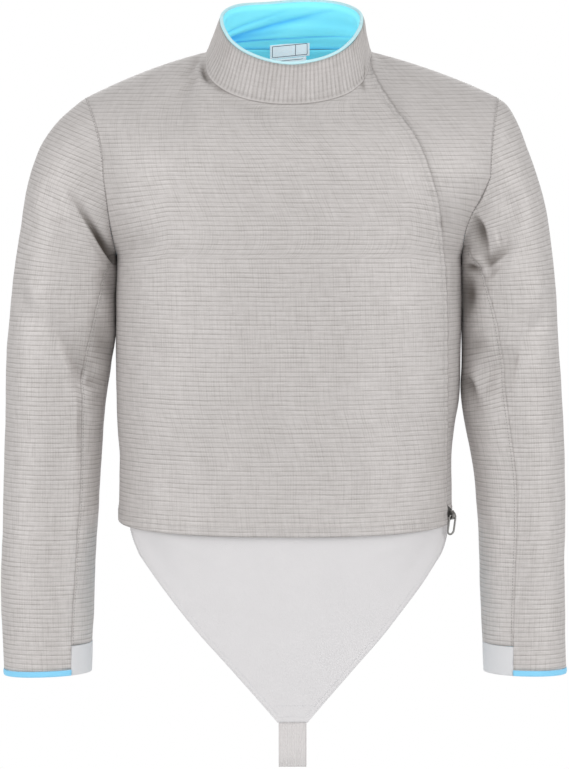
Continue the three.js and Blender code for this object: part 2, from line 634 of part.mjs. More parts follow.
// each piece of a sleeve takes its rows from the same places along it, so that the seams follow each other
const topRows = sleeveRows + cuffRows;
for (const side of ["right", "left"]) {
  const start = sleeveSeams[side][0];
  const seamAt = seamTables[side];
  const outward = point(side === "right" ? -1 : 1, 0, 0);
  const inward = outward.clone().negate();
  const [patchV, trimV] = [endV(side, patchHeight), endV(side, trimHeight)];
  const alongAt = (row) => {
    if (row <= sleeveRows) return (patchV * row) / sleeveRows;
    if (row <= topRows) return lerp(patchV, trimV, (row - sleeveRows) / cuffRows);
    return lerp(trimV, 1, row - topRows);
  };
  const topPiece = (from, to) => (s, v) => {
    const along = alongAt(lerp(from, to, v));
    return sleevePoint(side, lerp(seamAt("front", along), fullTurn + seamAt("back", along), s), along);
  };
  const underPiece = (from, to) => (s, v) => {
    const along = alongAt(lerp(from, to, v));
    return sleevePoint(side, lerp(seamAt("back", along), seamAt("front", along), s), along);
  };
  const topColumns = (fullTurn + start.back - start.front) / topSleeveStep;
  const underColumns = (start.front - start.back) / underSleeveStep;
  const sides = { start: half, end: half };
  addNode(`sleeve_${side}_top`, makeWall(topPiece(0, topRows), {
    columns: topColumns, rows: topRows, thickness: cloth, facing: outward, goesOn: true,
    inset: { ...sides, low: seamGap, high: half },
  }), "lame");
  addNode(`sleeve_${side}_under`, makeWall(underPiece(0, sleeveRows), {
    columns: underColumns, rows: sleeveRows, thickness: cloth, facing: inward, goesOn: true,
    inset: { ...sides, low: seamGap, high: half },
  }), "lame");
  addNode(`cuff_trim_${side}`, makeWall(topPiece(topRows, topRows + 1), {
    columns: topColumns, rows: 1, thickness: trimCloth, offset: trimProud, facing: outward, goesOn: true,
    inset: { ...sides, low: half },
  }), "trim");
  addNode(`cuff_patch_${side}`, makeWall(underPiece(sleeveRows, topRows + 1), {
    columns: underColumns, rows: cuffRows + 1, thickness: cloth, facing: inward, goesOn: true,
    inset: { ...sides, low: half },
  }), "apron");
}

// the apron hangs from inside the front hem and draws back towards its tip
function apronPoint(s, v) {
  const z = lerp(apron.tipZ, apron.topZ, v);
  const x = lerp(-1, 1, s) * apronAt("half", z) + strap.x * Math.sqrt(1 - v);
  const hang = clamp((z - hem.z) / (apron.tipZ - hem.z), 0, 1);
  const ring = (column) => bodyAt(column, Math.max(z, hem.z)) - apron.inset;
  const depth = lerp(ring("front"), apron.hangDepth, hang ** apron.hangPower);
  const across = Math.min(Math.abs(x) / ring(x < 0 ? "right" : "left"), 0.995);
  return point(x, sideY - depth * (1 - across ** roundness) ** (1 / roundness), z);
}
addNode("apron", makeWall(apronPoint, {
  columns: apron.columns, rows: apron.rows, thickness: cloth, facing: point(0, -1, 0),
}), "apron");

// the strap starts behind the apron's tip, turns under and runs up inside the back hem
const strapPath = strapRoute.map(({ y, z }) => point(strap.x, y, z));
const strapCurve = new THREE.CatmullRomCurve3(strapPath, false, "centripetal");
const strapPoint = (s, v) => strapCurve.getPoint(v).add(point((s - 0.5) * strap.width, 0, 0));
addNode("strap", makeWall(strapPoint, {
  columns: 2, rows: strap.rows, thickness: elasticCloth, facing: point(0, 0, -1),
}), "elastic");

// the zip's tape stands out beside the lapped edge at the hem, on the side front's rows and first column
const tapeRows = 1;
function tapePoint(s, v) {
  const row = (v * tapeRows) / bodyRows;
  const edge = bodyPoint("front", sideFrontU(lapColumns / sideColumns, row), row);
  const next = bodyPoint("front", sideFrontU((lapColumns + 1) / sideColumns, row), row);
  const out = next.sub(edge).setLength(zipTape.start + s * zipTape.width);
  const side = out.clone().setZ(0).normalize().cross(point(0, 0, 1));
  return edge.add(out).addScaledVector(side, zipTape.flare * s * s * (1 - v) - (cloth - zipTape.cloth));
}
addNode("zip_tape", makeWall(tapePoint, {
  columns: 3, rows: tapeRows, thickness: zipTape.cloth, facing: point(1, -1, 0),
  inset: { low: zipTape.setUp },
}), "tape");

// the slider: a block with a bridge over a hole, extruded sideways; the ring's bar runs through the hole
const sliderShape = new THREE.Shape();
const bridgeTop = slider.body + slider.bridge;
sliderShape.moveTo(0, -slider.height / 2);
sliderShape.lineTo(slider.body, -slider.height / 2);
sliderShape.lineTo(bridgeTop, -slider.height / 2 + slider.body);
sliderShape.lineTo(bridgeTop, slider.height / 2 - slider.body - slider.corner);
sliderShape.lineTo(slider.body, slider.height / 2);
sliderShape.lineTo(0, slider.height / 2);
sliderShape.closePath();
const barOut = slider.body + slider.corner / 2 + slider.holeDepth / 2;
const hole = new THREE.Path();
hole.moveTo(barOut - slider.holeDepth / 2, -slider.holeHeight / 2);
hole.lineTo(barOut - slider.holeDepth / 2, slider.holeHeight / 2);
hole.lineTo(barOut + slider.holeDepth / 2, slider.holeHeight / 2);
hole.lineTo(barOut + slider.holeDepth / 2, -slider.holeHeight / 2);
hole.closePath();
sliderShape.holes.push(hole);
const sliderBlock = new THREE.ExtrudeGeometry(sliderShape, { depth: slider.width, bevelEnabled: false });
sliderBlock.translate(0, 0, -slider.width / 2);
sliderBlock.rotateX(Math.PI / 2);
const tapeMiddle = tapePoint(1 / 2, 0);
const tapeAcross = tapePoint(2 / 3, 0).sub(tapePoint(1 / 3, 0)).setZ(0).normalize();
const sliderTurn = Math.atan2(-tapeAcross.x, tapeAcross.y);
const outwards = point(Math.cos(sliderTurn), Math.sin(sliderTurn), 0);
const sideways = point(-Math.sin(sliderTurn), Math.cos(sliderTurn), 0);
const sliderPlace = tapeMiddle.setZ(sliderSeat.height).addScaledVector(outwards, sliderSeat.gap);
sliderBlock.rotateZ(sliderTurn);
sliderBlock.translate(sliderPlace.x, sliderPlace.y, sliderPlace.z);
addNode("zip_slider", sliderBlock, "metal");

// the ring pull: a long loop of wire whose straight top is its hinge
const hinge = sliderPlace.clone().addScaledVector(outwards, barOut);
const loopRoute = [];
const loopRadius = ringPull.width / 2;
const { upperCorner } = ringPull;
const addArc = (x, z, radius, from, to, steps) => {
  for (let k = 0; k <= steps; k += 1) {
    const turn = degToRad(lerp(from, to, k / steps));
    loopRoute.push({ x: x + radius * Math.cos(turn), z: z + radius * Math.sin(turn) });
  }
};
addArc(loopRadius - upperCorner, -upperCorner, upperCorner, 90, 0, 3);
addArc(0, -ringPull.height + loopRadius, loopRadius, 0, -180, 10);
addArc(-loopRadius + upperCorner, -upperCorner, upperCorner, 180, 90, 3);
const lean = Math.tan(degToRad(ringPull.lean));
const loopPath = loopRoute.map(({ x, z }) => {
  const place = hinge.clone().addScaledVector(sideways, x + z * lean);
  return place.setZ(hinge.z + z);
});
addNode("pull_ring", makeBar(loopPath, ringPull.radius, ringPull.sides, true, outwards), "metal");

// the labels inside the back of the neck, on a curve just inside the collar's lining
const labelY = neckline.at(-1).footY - collarCloth - liningCloth - labelSeat.gap;
for (const [name, label] of Object.entries({ size_label: sizeLabel, care_label: careLabel })) {
  const surface = (s, v) => {
    const x = lerp(label.left, label.right, s);
    return point(x, labelY - labelSeat.bend * x * x, lerp(label.bottom, label.top, v));
  };
  addNode(name, makeWall(surface, {
    columns: labelSeat.columns, rows: 1, thickness: labelCloth, facing: point(0, 1, 0),
  }), "label");
}

export default lameJacket;
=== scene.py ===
import json
import math
import bpy
import numpy as np
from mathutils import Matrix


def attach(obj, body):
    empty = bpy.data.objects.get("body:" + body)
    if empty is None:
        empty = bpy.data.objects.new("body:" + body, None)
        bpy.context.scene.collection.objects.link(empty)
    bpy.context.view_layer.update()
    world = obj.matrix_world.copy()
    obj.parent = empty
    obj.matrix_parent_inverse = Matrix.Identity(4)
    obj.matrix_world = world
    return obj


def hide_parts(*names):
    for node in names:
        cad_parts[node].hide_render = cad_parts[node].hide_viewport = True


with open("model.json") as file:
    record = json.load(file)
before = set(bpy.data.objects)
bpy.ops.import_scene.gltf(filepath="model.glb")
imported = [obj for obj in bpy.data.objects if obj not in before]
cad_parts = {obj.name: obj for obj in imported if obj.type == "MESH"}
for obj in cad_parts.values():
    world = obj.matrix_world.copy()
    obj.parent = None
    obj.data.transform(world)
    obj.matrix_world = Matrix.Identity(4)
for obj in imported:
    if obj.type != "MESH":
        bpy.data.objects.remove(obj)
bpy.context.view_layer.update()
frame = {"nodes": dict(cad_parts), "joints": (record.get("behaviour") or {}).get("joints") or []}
mm = 0.001

# shapes shared by the pieces, in millimetres, with the solids' formulas; the closure's edge lies a few
# millimetres further in near its top, and the sleeves' inner sides nearer to the body


def table(columns, *rows):
    return [dict(zip(columns.split(), row)) for row in rows]


def smoothTable(rows, key):
    # cubic pieces between the rows, in every column but the key; slopes from the neighbouring rows
    keys = np.array([row[key] for row in rows], float)
    lower = np.maximum(np.arange(len(keys)) - 1, 0)
    upper = np.minimum(np.arange(len(keys)) + 1, len(keys) - 1)

    def read(column, at):
        values = np.array([row[column] for row in rows], float)
        slopes = (values[upper] - values[lower]) / (keys[upper] - keys[lower])
        at = np.asarray(at, float)
        i = np.clip(np.searchsorted(keys, at, side="left") - 1, 0, len(keys) - 2)
        span = keys[i + 1] - keys[i]
        t = np.clip((at - keys[i]) / span, 0, 1)
        risen = 3 * t ** 2 - 2 * t ** 3
        bow, sag = t ** 3 - 2 * t ** 2 + t, t ** 3 - t ** 2
        curved = (slopes[i] * bow + slopes[i + 1] * sag) * span
        return values[i] * (1 - risen) + values[i + 1] * risen + curved

    return read


def stack(x, y, z):
    # three grids as one grid of points
    return np.stack(np.broadcast_arrays(x, y, z), -1).astype(float)


def mix(a, b, t):
    # a plus the share t of the way to b
    return a + (b - a) * t


def smoothStep(low, high, value):
    # 0 at low, 1 at high, and 3tt - 2ttt between
    t = np.clip((value - low) / (high - low), 0, 1)
    return t * t * (3 - 2 * t)


def hump(value, width):
    # a bell curve: 1 at no distance and 1/e at the width
    return np.exp(-((value / width) ** 2))


def unit(vectors):
    # each vector over its own length
    return vectors / np.maximum(np.linalg.norm(vectors, axis=-1, keepdims=True), 1e-9)


body = {
    "roundHandle": 0.5523, "neckHandle": 0.2, "neckLowHandle": 0.45, "neckRise": 0.33, "cornerSpread": 24,
    "shoulderFall": 0.3, "sideY": 5, "roundness": 2.3, "hemZ": -557, "hemDrop": 13,
    "armpitZ": -245, "armholeMiddleZ": -150, "armholeReach": 65,
    "shoulderRight": -241, "shoulderLeft": 248, "shoulderY": 5, "shoulderZ": -56, "shoulderStraight": 0.66,
    "armpitV": 1 / 3, "middleV": 2 / 3, "neckCornerU": 8 / 30, "closureTopU": 21 / 30,
}
bodyRings = table(
    "z right left front back",
    (-575, 206, 196, 122, 104), (-525, 204, 196, 123, 103), (-486, 203.5, 195.5, 124, 102),
    (-447, 206, 199, 126, 102), (-409, 207, 205, 128, 103), (-351, 208, 206, 131, 107),
    (-298, 207, 207, 134, 113), (-245, 206, 206.5, 136, 118), (-217, 210, 208, 137, 120),
    (-197, 212.5, 214, 137, 121), (-175, 215, 226, 136.5, 122), (-150, 218, 237, 135, 122),
)
neckPointAngle = 96
collarLean = 3
neckline = table(
    "angle footX footY footZ topX topY topZ",
    (-20, -33, -88, -63.5, -29, -69, -16), (0, 0, -90, -66, 0, -72, -20), (20, 33, -88, -63.5, 29, -69, -16),
    (40, 64, -81, -55, 55, -58, -6), (57, 83, -70, -42, 72, -44, 7), (70, 91, -54, -29, 80, -30, 18),
    (82, 95, -30, -13, 84.5, -16, 28), (96, 97, 0, -2, 85, 2, 39), (115, 91, 28, 3, 78, 20, 48),
    (135, 74, 46, 5, 61, 35, 55), (157, 41, 58, 6, 34, 46, 60), (180, 0, 62, 6, 0, 50, 62),
    (203, -41, 58, 6, -34, 46, 60),
)
closureEdge = table(
    "z x", (-575, 190), (-530, 188), (-471, 187), (-341, 186), (-259, 183), (-189, 175), (-143, 163),
    (-108, 148.5), (-75, 126), (-44, 106), (-14, 93),
)
bodyAt = smoothTable(bodyRings, "z")
neckAt = smoothTable(neckline, "angle")
closureAt = smoothTable(closureEdge, "z")


def collarPoint(angle, height):
    # straight from the neckline's foot to the collar's top at each angle from the middle of the front
    wrapped = np.mod(np.asarray(angle, float) + 180, 360) - 180
    fold = np.abs(wrapped)
    across = mix(neckAt("footX", fold), neckAt("topX", fold), height)
    return stack(
        np.where(wrapped > 0, -across, across) + collarLean * height,
        mix(neckAt("footY", fold), neckAt("topY", fold), height),
        mix(neckAt("footZ", fold), neckAt("topZ", fold), height),
    )


def topPoint(face, u):
    # the top edge: a shoulder seam, the neckline between its two corners, the other shoulder seam
    corner, front = body["neckCornerU"], face == "front"
    along = np.clip((u - corner) / (1 - 2 * corner), 0, 1)
    half = neckPointAngle if front else neckPointAngle - 180
    neck = collarPoint((0 if front else 180) + half * (1 - 2 * along), 0)
    side = np.where(u < 0.5, 1, -1)
    point = collarPoint(side * neckPointAngle, 0)
    out = np.clip(np.where(side > 0, corner - u, u - (1 - corner)) / corner, 0, 1)
    slope = body["shoulderStraight"] * out + (1 - body["shoulderStraight"]) * out ** 2
    tipX = np.where(side > 0, body["shoulderRight"], body["shoulderLeft"])
    shoulder = stack(
        mix(point[..., 0], tipX, out), mix(point[..., 1], body["shoulderY"], out),
        mix(point[..., 2], body["shoulderZ"], slope),
    )
    inNeck = (u > corner) & (u < 1 - corner)
    return np.where(inNeck[..., None], neck, shoulder)


def ringPoint(face, u, v):
    # an oval of the body's roundness at each height, cut where the armhole's edge crosses it
    armpitV, middleV, power = body["armpitV"], body["middleV"], 2 / body["roundness"]
    quarter = np.clip((v - armpitV) / (middleV - armpitV), 0, 1) * (math.pi / 2)
    levelZ = body["armholeMiddleZ"] - (body["armholeMiddleZ"] - body["armpitZ"]) * np.cos(quarter)
    low = v < armpitV
    depth = bodyAt(face, np.where(low, mix(body["hemZ"], body["armpitZ"], v / armpitV), levelZ))
    edge = np.arcsin(np.clip(body["armholeReach"] * np.sin(quarter) / depth, 0, 1) ** (1 / power))
    turn = mix(edge, math.pi - edge, u)
    rising = np.maximum(np.sin(turn), 0)
    hemZ = body["hemZ"] - body["hemDrop"] * np.sqrt(rising)
    z = np.where(low, mix(hemZ, body["armpitZ"], v / armpitV), levelZ)
    seamX = np.where(turn < math.pi / 2, bodyAt("right", z), bodyAt("left", z)) / np.cos(edge) ** power
    out = depth * rising ** power
    x = -seamX * np.sign(np.cos(turn)) * np.abs(np.cos(turn)) ** power
    return stack(x, body["sideY"] + (-out if face == "front" else out), z)


def bodyPoint(face, u, v):
    # rings up to the armhole's middle, then cubic curves to the top edge, sharper near the neck's corners
    u, v = np.broadcast_arrays(np.asarray(u, float), np.asarray(v, float))
    ring = ringPoint(face, u, np.minimum(v, body["middleV"]))
    low, high = ringPoint(face, u, np.full_like(v, body["middleV"])), topPoint(face, u)
    fromEdge = 0.5 - np.abs(u - 0.5)
    out = np.clip(1 - fromEdge / body["neckCornerU"], 0, 1)
    inside = np.clip((fromEdge - body["neckCornerU"]) / (0.5 - body["neckCornerU"]), 0, 1)
    shoulderHandle = mix(body["neckHandle"], body["roundHandle"], out ** 0.7)
    handle = mix(shoulderHandle, body["roundHandle"], inside)
    rise = body["neckRise"] * np.sin(inside * math.pi / 2)
    spread = body["cornerSpread"] * (1 - out) ** 2 * (1 - inside) ** 2
    lowReach = mix(body["roundHandle"], body["neckLowHandle"], 1 - out)
    lowHandle = stack(low[..., 0], low[..., 1], mix(low[..., 2], high[..., 2], lowReach))
    highHandle = stack(
        high[..., 0] + np.where(u < 0.5, -spread, spread), mix(high[..., 1], low[..., 1], handle),
        mix(high[..., 2], low[..., 2], rise) - body["shoulderFall"] * spread,
    )
    t = np.clip((v - body["middleV"]) / (1 - body["middleV"]), 0, 1)[..., None]
    middle = 3 * lowHandle * t * (1 - t) ** 2 + 3 * highHandle * t ** 2 * (1 - t)
    curve = low * (1 - t) ** 3 + middle + high * t ** 3
    return np.where((v <= body["middleV"])[..., None], ring, curve)


def closureU(v):
    # the lapped edge's u in each row, found by halving
    low, high = np.full_like(v, 0.5), np.ones_like(v)
    for _ in range(26):
        middle = (low + high) / 2
        at = bodyPoint("front", middle, v)
        before = at[..., 0] < closureAt("x", at[..., 2])
        low, high = np.where(before, middle, low), np.where(before, high, middle)
    return mix(low, body["closureTopU"], smoothStep(0.97, 1, v))


def steps(*runs):
    # the rows of a surface: (from, to, count) runs, joined
    parts = [np.linspace(a, b, count, endpoint=False) for a, b, count in runs]
    return np.concatenate(parts + [[runs[-1][1]]])


# cloth: folds, walls, seams


def bezier(points, count=24):
    # a quadratic curve through a start, a handle and an end, as points
    a, b, c = (np.array(p, float) for p in points)
    t = np.linspace(0, 1, count)[:, None]
    return a * (1 - t) ** 2 + 2 * b * t * (1 - t) + c * t ** 2


def nearLine(places, line):
    # distance from each place to a polyline, the signed side of it in a plane, and how far along it lies
    best = np.full(places.shape[:-1], 1e9)
    signed, along = np.zeros_like(best), np.zeros_like(best)
    count = len(line) - 1
    for k in range(count):
        a, b = line[k], line[k + 1]
        span = b - a
        t = np.clip(((places - a) @ span) / max(span @ span, 1e-9), 0, 1)
        off = places - (a + t[..., None] * span)
        distance = np.linalg.norm(off, axis=-1)
        closer = distance < best
        best = np.where(closer, distance, best)
        along = np.where(closer, (k + t) / count, along)
        if places.shape[-1] == 2:
            signed = np.where(closer, np.sign(span[0] * off[..., 1] - span[1] * off[..., 0]), signed)
    return best, signed, along


def foldRelief(places, folds, face):
    # the sum of soft folds seen from the front: a bell of its own width on the left and on the right of its
    # line, fading from its peak to both ends; and how much each shades the cloth
    flat = places[..., [0, 2]]
    rise, shade = np.zeros(places.shape[:-1]), np.zeros(places.shape[:-1])
    for fold in folds:
        if fold["face"] != face:
            continue
        line = bezier([(fold["x0"], fold["z0"]), (fold["x1"], fold["z1"]), (fold["x2"], fold["z2"])])
        reach = 3 * max(fold["left"], fold["right"])
        near = ((flat > line.min(0) - reach) & (flat < line.max(0) + reach)).all(-1)
        if not near.any():
            continue
        distance, side, along = nearLine(flat[near], line)
        width = np.where(side > 0, fold["left"], fold["right"])
        peak = fold["peak"]
        falling = smoothStep(1.03, peak, along) if peak < 1 else 1
        fade = np.where(along < peak, smoothStep(-0.03, peak, along), falling)
        bell = hump(distance, width) * fade
        rise[near] += fold["height"] * bell
        shade[near] += fold["shade"] * bell
    return rise, np.clip(shade, 0, 1)


def waves(a, b, seed, size):
    # a smooth uneven field: a few crossed waves of seeded direction and phase, from -1 to 1
    random = np.random.default_rng(seed)
    total = np.zeros(np.broadcast(a, b).shape)
    for _ in range(7):
        angle, phase = random.uniform(0, 2 * math.pi, 2)
        length = size * random.uniform(0.6, 1.7)
        total += np.sin((a * math.cos(angle) + b * math.sin(angle)) * 2 * math.pi / length + phase)
    return total / 7 ** 0.5 / 1.4


def gridNormals(points):
    # the cross product of a grid's two directions
    across = np.gradient(points, axis=1)
    along = np.gradient(points, axis=0)
    return unit(np.cross(across, along))


def arcLengths(points, axis):
    # the summed lengths of a grid's steps along an axis
    step = np.linalg.norm(np.diff(points, axis=axis), axis=-1)
    return np.concatenate([np.zeros_like(np.take(step, [0], axis=axis)), np.cumsum(step, axis=axis)], axis)


def setUv(mesh, coordinates, name="cloth"):
    # one flat coordinate for each vertex, read by the faces' corners
    corners = np.empty(len(mesh.loops), np.int32)
    mesh.loops.foreach_get("vertex_index", corners)
    mesh.uv_layers.new(name=name).data.foreach_set("uv", coordinates[corners].astype(np.float32).ravel())


def finish(name, mesh, materials, node=None, slot=None, rideOn="jacket"):
    for material in materials:
        mesh.materials.append(material)
    piece = bpy.data.objects.new(name, mesh)
    bpy.context.scene.collection.objects.link(piece)
    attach(piece, rideOn)
    if node:
        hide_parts(*([node] if isinstance(node, str) else node))
    return piece


def clothWall(
        name, points, uv, thickness, materials, inner=None, outward=1, crease=None, normals=None, **more):
    # a closed wall: the outer points, the same points moved in along the normals, and a rim between them;
    # each outer point's painted shade, if given, is set on both sides as an attribute that darkens the colour
    rows, columns = points.shape[:2]
    if normals is None:
        normals = gridNormals(points) * outward
    inside = points - normals * np.broadcast_to(thickness, (rows, columns))[..., None]
    count = rows * columns
    index = np.arange(count).reshape(rows, columns)
    quads = np.stack([index[:-1, :-1], index[:-1, 1:], index[1:, 1:], index[1:, :-1]], -1).reshape(-1, 4)
    rim = np.concatenate([index[0, :-1], index[:-1, -1], index[-1, :0:-1], index[:0:-1, 0]])
    rimNext = np.roll(rim, -1)
    edge = np.stack([rimNext, rim, rim + count, rimNext + count], -1)
    faces = np.concatenate([quads, quads[:, ::-1] + count, edge])
    if outward < 0:
        faces = faces[:, ::-1]
    mesh = bpy.data.meshes.new(name)
    vertices = np.concatenate([points.reshape(-1, 3), inside.reshape(-1, 3)]) * mm
    mesh.from_pydata(vertices.tolist(), [], faces.tolist())
    setUv(mesh, np.tile(uv.reshape(-1, 2) * mm, (2, 1)))
    if crease is not None:
        # painted shade: the materials read this attribute to darken the cloth in creases, seams and under
        # edges
        mesh.attributes.new("crease", "FLOAT", "POINT").data.foreach_set(
            "value", np.tile(crease.ravel(), 2).astype(np.float32))
    slots = np.zeros(len(faces), np.int32)
    innerSlot = np.ones((rows - 1, columns - 1), np.int32) if inner is None else inner
    innerSlot[[0, -1]] = 0
    innerSlot[:, [0, -1]] = 0
    slots[len(quads):2 * len(quads)] = innerSlot.ravel() * (len(materials) > 1)
    piece = finish(name, mesh, materials, **more)
    mesh.polygons.foreach_set("material_index", slots)
    mesh.polygons.foreach_set("use_smooth", np.ones(len(faces), bool))
    mesh.update()
    return piece


def declare(piece, points, cut):
    # prints the cloth's widest and longest runs and its surface, measured on its points; its cut is not used
    across = np.linalg.norm(np.diff(points, axis=1), axis=-1).sum(1).max()
    along = np.linalg.norm(np.diff(points, axis=0), axis=-1).sum(0).max()
    a, b = points[1:, :-1] - points[:-1, :-1], points[:-1, 1:] - points[:-1, :-1]
    surface = np.linalg.norm(np.cross(a, b), axis=-1).sum()
    print(f"  {piece.name}: widest {across:.0f} mm, longest {along:.0f} mm, surface {surface / 1e6:.4f} m2")


def resample(line, spacing):
    # points at even distances along a line, with the direction at each
    distance = arcLengths(line, 0)
    count = max(int(distance[-1] / spacing), 2)
    at = (np.arange(count) + 0.5) * distance[-1] / count
    places = np.stack([np.interp(at, distance, line[:, k]) for k in range(3)], -1)
    return places, unit(np.gradient(places, axis=0))


def stitchRow(lines, spacing, length, radius):
    # rows of stitches: each a short six-sided thread that bends in at both ends; each line has its
    # points and normals
    ring = np.arange(6) * math.pi / 3
    profile = [(-0.5, 0.1, -0.9), (-0.36, 0.8, -0.1), (0, 1, 0.25), (0.36, 0.8, -0.1), (0.5, 0.1, -0.9)]
    vertices, faces, offset = [], [], 0
    for line, normals in lines:
        places, along = resample(line, spacing)
        source = arcLengths(line, 0)
        at = (np.arange(len(places)) + 0.5) * source[-1] / len(places)
        up = unit(np.stack([np.interp(at, source, normals[:, k]) for k in range(3)], -1))
        side = unit(np.cross(along, up))
        rings = []
        for reach, thick, lift in profile:
            centre = places + along * length * reach + up * radius * (0.4 + lift)
            turn = side[:, None] * np.cos(ring)[None, :, None] + up[:, None] * np.sin(ring)[None, :, None]
            rings.append(centre[:, None] + turn * radius * thick)
        block = np.stack(rings, 1)
        vertices.append(block.reshape(-1, 3))
        each = len(profile) * 6
        k, j = np.meshgrid(np.arange(len(profile) - 1), np.arange(6), indexing="ij")
        a = k * 6 + j
        b = k * 6 + (j + 1) % 6
        quad = np.stack([a, b, b + 6, a + 6], -1).reshape(-1, 4)
        starts = offset + np.arange(len(places)) * each
        faces.append((starts[:, None, None] + quad[None]).reshape(-1, 4))
        caps = np.array([[0, 3, 2, 1], [0, 5, 4, 3]])
        last = each - 6
        ends = np.array([[last, last + 1, last + 2, last + 3], [last, last + 3, last + 4, last + 5]])
        faces.append((starts[:, None, None] + np.concatenate([caps, ends])[None]).reshape(-1, 4))
        offset += len(places) * each
    return np.concatenate(vertices), np.concatenate(faces)


def stitches(name, lines, material, spacing=3.2, length=2.3, radius=0.32):
    # rows of stitches as one piece in its thread's colour
    vertices, faces = stitchRow(lines, spacing, length, radius)
    mesh = bpy.data.meshes.new(name)
    mesh.from_pydata((vertices * mm).tolist(), [], faces.tolist())
    mesh.polygons.foreach_set("use_smooth", np.ones(len(faces), bool))
    return finish(name, mesh, [material])


def tube(path, radius, sides, closed):
    # a round bar along a path: rings square to the path's direction
    before = np.roll(path, 1, 0) if closed else np.concatenate([path[:1], path[:-1]])
    after = np.roll(path, -1, 0) if closed else np.concatenate([path[1:], path[-1:]])
    along = unit(after - before)
    guide = unit(np.cross(along, [0.13, 0.21, 0.97]) + 1e-9)
    up = np.cross(along, guide)
    turn = np.arange(sides) * 2 * math.pi / sides
    radius = np.broadcast_to(radius, len(path))[:, None, None]
    spokes = guide[:, None] * np.cos(turn)[None, :, None] + up[:, None] * np.sin(turn)[None, :, None]
    points = path[:, None] + spokes * radius
    count = len(path)
    k = np.arange(count if closed else count - 1)
    a = (k[:, None] * sides + np.arange(sides)[None]).ravel()
    b = (k[:, None] * sides + (np.arange(sides) + 1)[None] % sides).ravel()
    shift = ((k + 1) % count)[:, None] * sides
    c = (shift + (np.arange(sides) + 1)[None] % sides).ravel()
    d = (shift + np.arange(sides)[None]).ravel()
    return points.reshape(-1, 3), np.stack([a, b, c, d], -1)


def barMesh(name, path, radius, sides, closed):
    # a tube along the path, with flat ends where it is open
    vertices, faces = tube(path, radius, sides, closed)
    faces = faces.tolist()
    if not closed:
        faces.append(list(range(sides))[::-1])
        faces.append([len(vertices) - sides + k for k in range(sides)])
    mesh = bpy.data.meshes.new(name)
    mesh.from_pydata((vertices * mm).tolist(), [], faces)
    mesh.polygons.foreach_set("use_smooth", np.ones(len(faces), bool))
    return mesh


# materials


class Wire:
    # one socket of a material; sums on it add Math nodes
    def __init__(self, paint, socket):
        self.paint, self.socket = paint, socket

    def math(self, operation, *others, clamp=False):
        values = {index: value for index, value in enumerate((self, *others))}
        return self.paint.node("ShaderNodeMath", {"operation": operation, "use_clamp": clamp}, values)

    def __add__(self, other):
        return self.math("ADD", other)

    def __radd__(self, other):
        return self.math("ADD", other)

    def __sub__(self, other):
        return self.math("SUBTRACT", other)

    def __rsub__(self, other):
        return (self * -1).math("ADD", other)

    def __mul__(self, other):
        return self.math("MULTIPLY", other)

    def __rmul__(self, other):
        return self.math("MULTIPLY", other)

    def __truediv__(self, other):
        return self.math("DIVIDE", other)

    def output(self, name):
        return Wire(self.paint, self.socket.node.outputs[name])


class Paint:
    # a material on the making: node() adds any node from its type, settings and sockets
    def __init__(self, name):
        self.material = bpy.data.materials.new(name)
        self.material.use_nodes = True
        self.tree = self.material.node_tree
        self.tree.nodes.clear()

    def node(self, kind, settings=None, sockets=None, output=0):
        node = self.tree.nodes.new(kind)
        for key, value in (settings or {}).items():
            if key == "stops":
                ramp = node.color_ramp
                while len(ramp.elements) < len(value):
                    ramp.elements.new(0.5)
                for element, (position, colour) in zip(ramp.elements, value):
                    element.position, element.color = position, (*colour, 1)
            else:
                setattr(node, key, value)
        for key, value in (sockets or {}).items():
            if isinstance(value, Wire):
                self.tree.links.new(value.socket, node.inputs[key])
            else:
                node.inputs[key].default_value = value
        return Wire(self, node.outputs[output]) if len(node.outputs) else None

    def coordinates(self, u, v, w=0.0):
        # a vector from three numbers or sockets
        return self.node("ShaderNodeCombineXYZ", None, {"X": u, "Y": v, "Z": w})

    def noise(self, vector, scale=1.0, detail=2.0, roughness=0.5):
        # cloudy noise, from 0 to 1
        return self.node("ShaderNodeTexNoise", {"noise_dimensions": "3D"}, {
            "Vector": vector, "Scale": scale, "Detail": detail, "Roughness": roughness})

    def between(self, value, low, high, start=0.0, end=1.0):
        # smoothly from start to end while the value goes from low to high
        return self.node("ShaderNodeMapRange", {"interpolation_type": "SMOOTHSTEP", "clamp": True}, {
            "Value": value, "From Min": low, "From Max": high, "To Min": start, "To Max": end})

    def blend(self, factor, a, b):
        # colour a where the factor is 0, and b where it is 1
        sides = {0: factor}
        for socket, colour in ((6, a), (7, b)):
            sides[socket] = colour if isinstance(colour, Wire) else (*colour, 1)
        return self.node("ShaderNodeMix", {"data_type": "RGBA"}, sides, 2)

    def uv(self, name="cloth"):
        split = self.node("ShaderNodeSeparateXYZ", None, {
            0: self.node("ShaderNodeUVMap", {"uv_map": name})})
        return split, split.output("Y")

    def done(self, sockets, height=None, relief=0.0003, strength=1.0):
        # the shader on the output, with the height as its bump
        if height is not None:
            sockets["Normal"] = self.node("ShaderNodeBump", None, {
                "Height": height, "Distance": relief, "Strength": strength})
        shader = self.node("ShaderNodeBsdfPrincipled", None, sockets)
        self.node("ShaderNodeOutputMaterial", None, {"Surface": shader})
        return self.material


# the weave's light and dark tones, and the painted shade colour that creases, seams and under edges darken to
lame = {
    "light": (0.655, 0.624, 0.612), "dark": (0.285, 0.262, 0.245), "shadeColour": (0.13, 0.108, 0.092),
    "pitch": 0.0055, "threadPitch": 0.0031, "ribPitch": 0.00505, "metallic": 0.2, "roughness": 0.55,
}


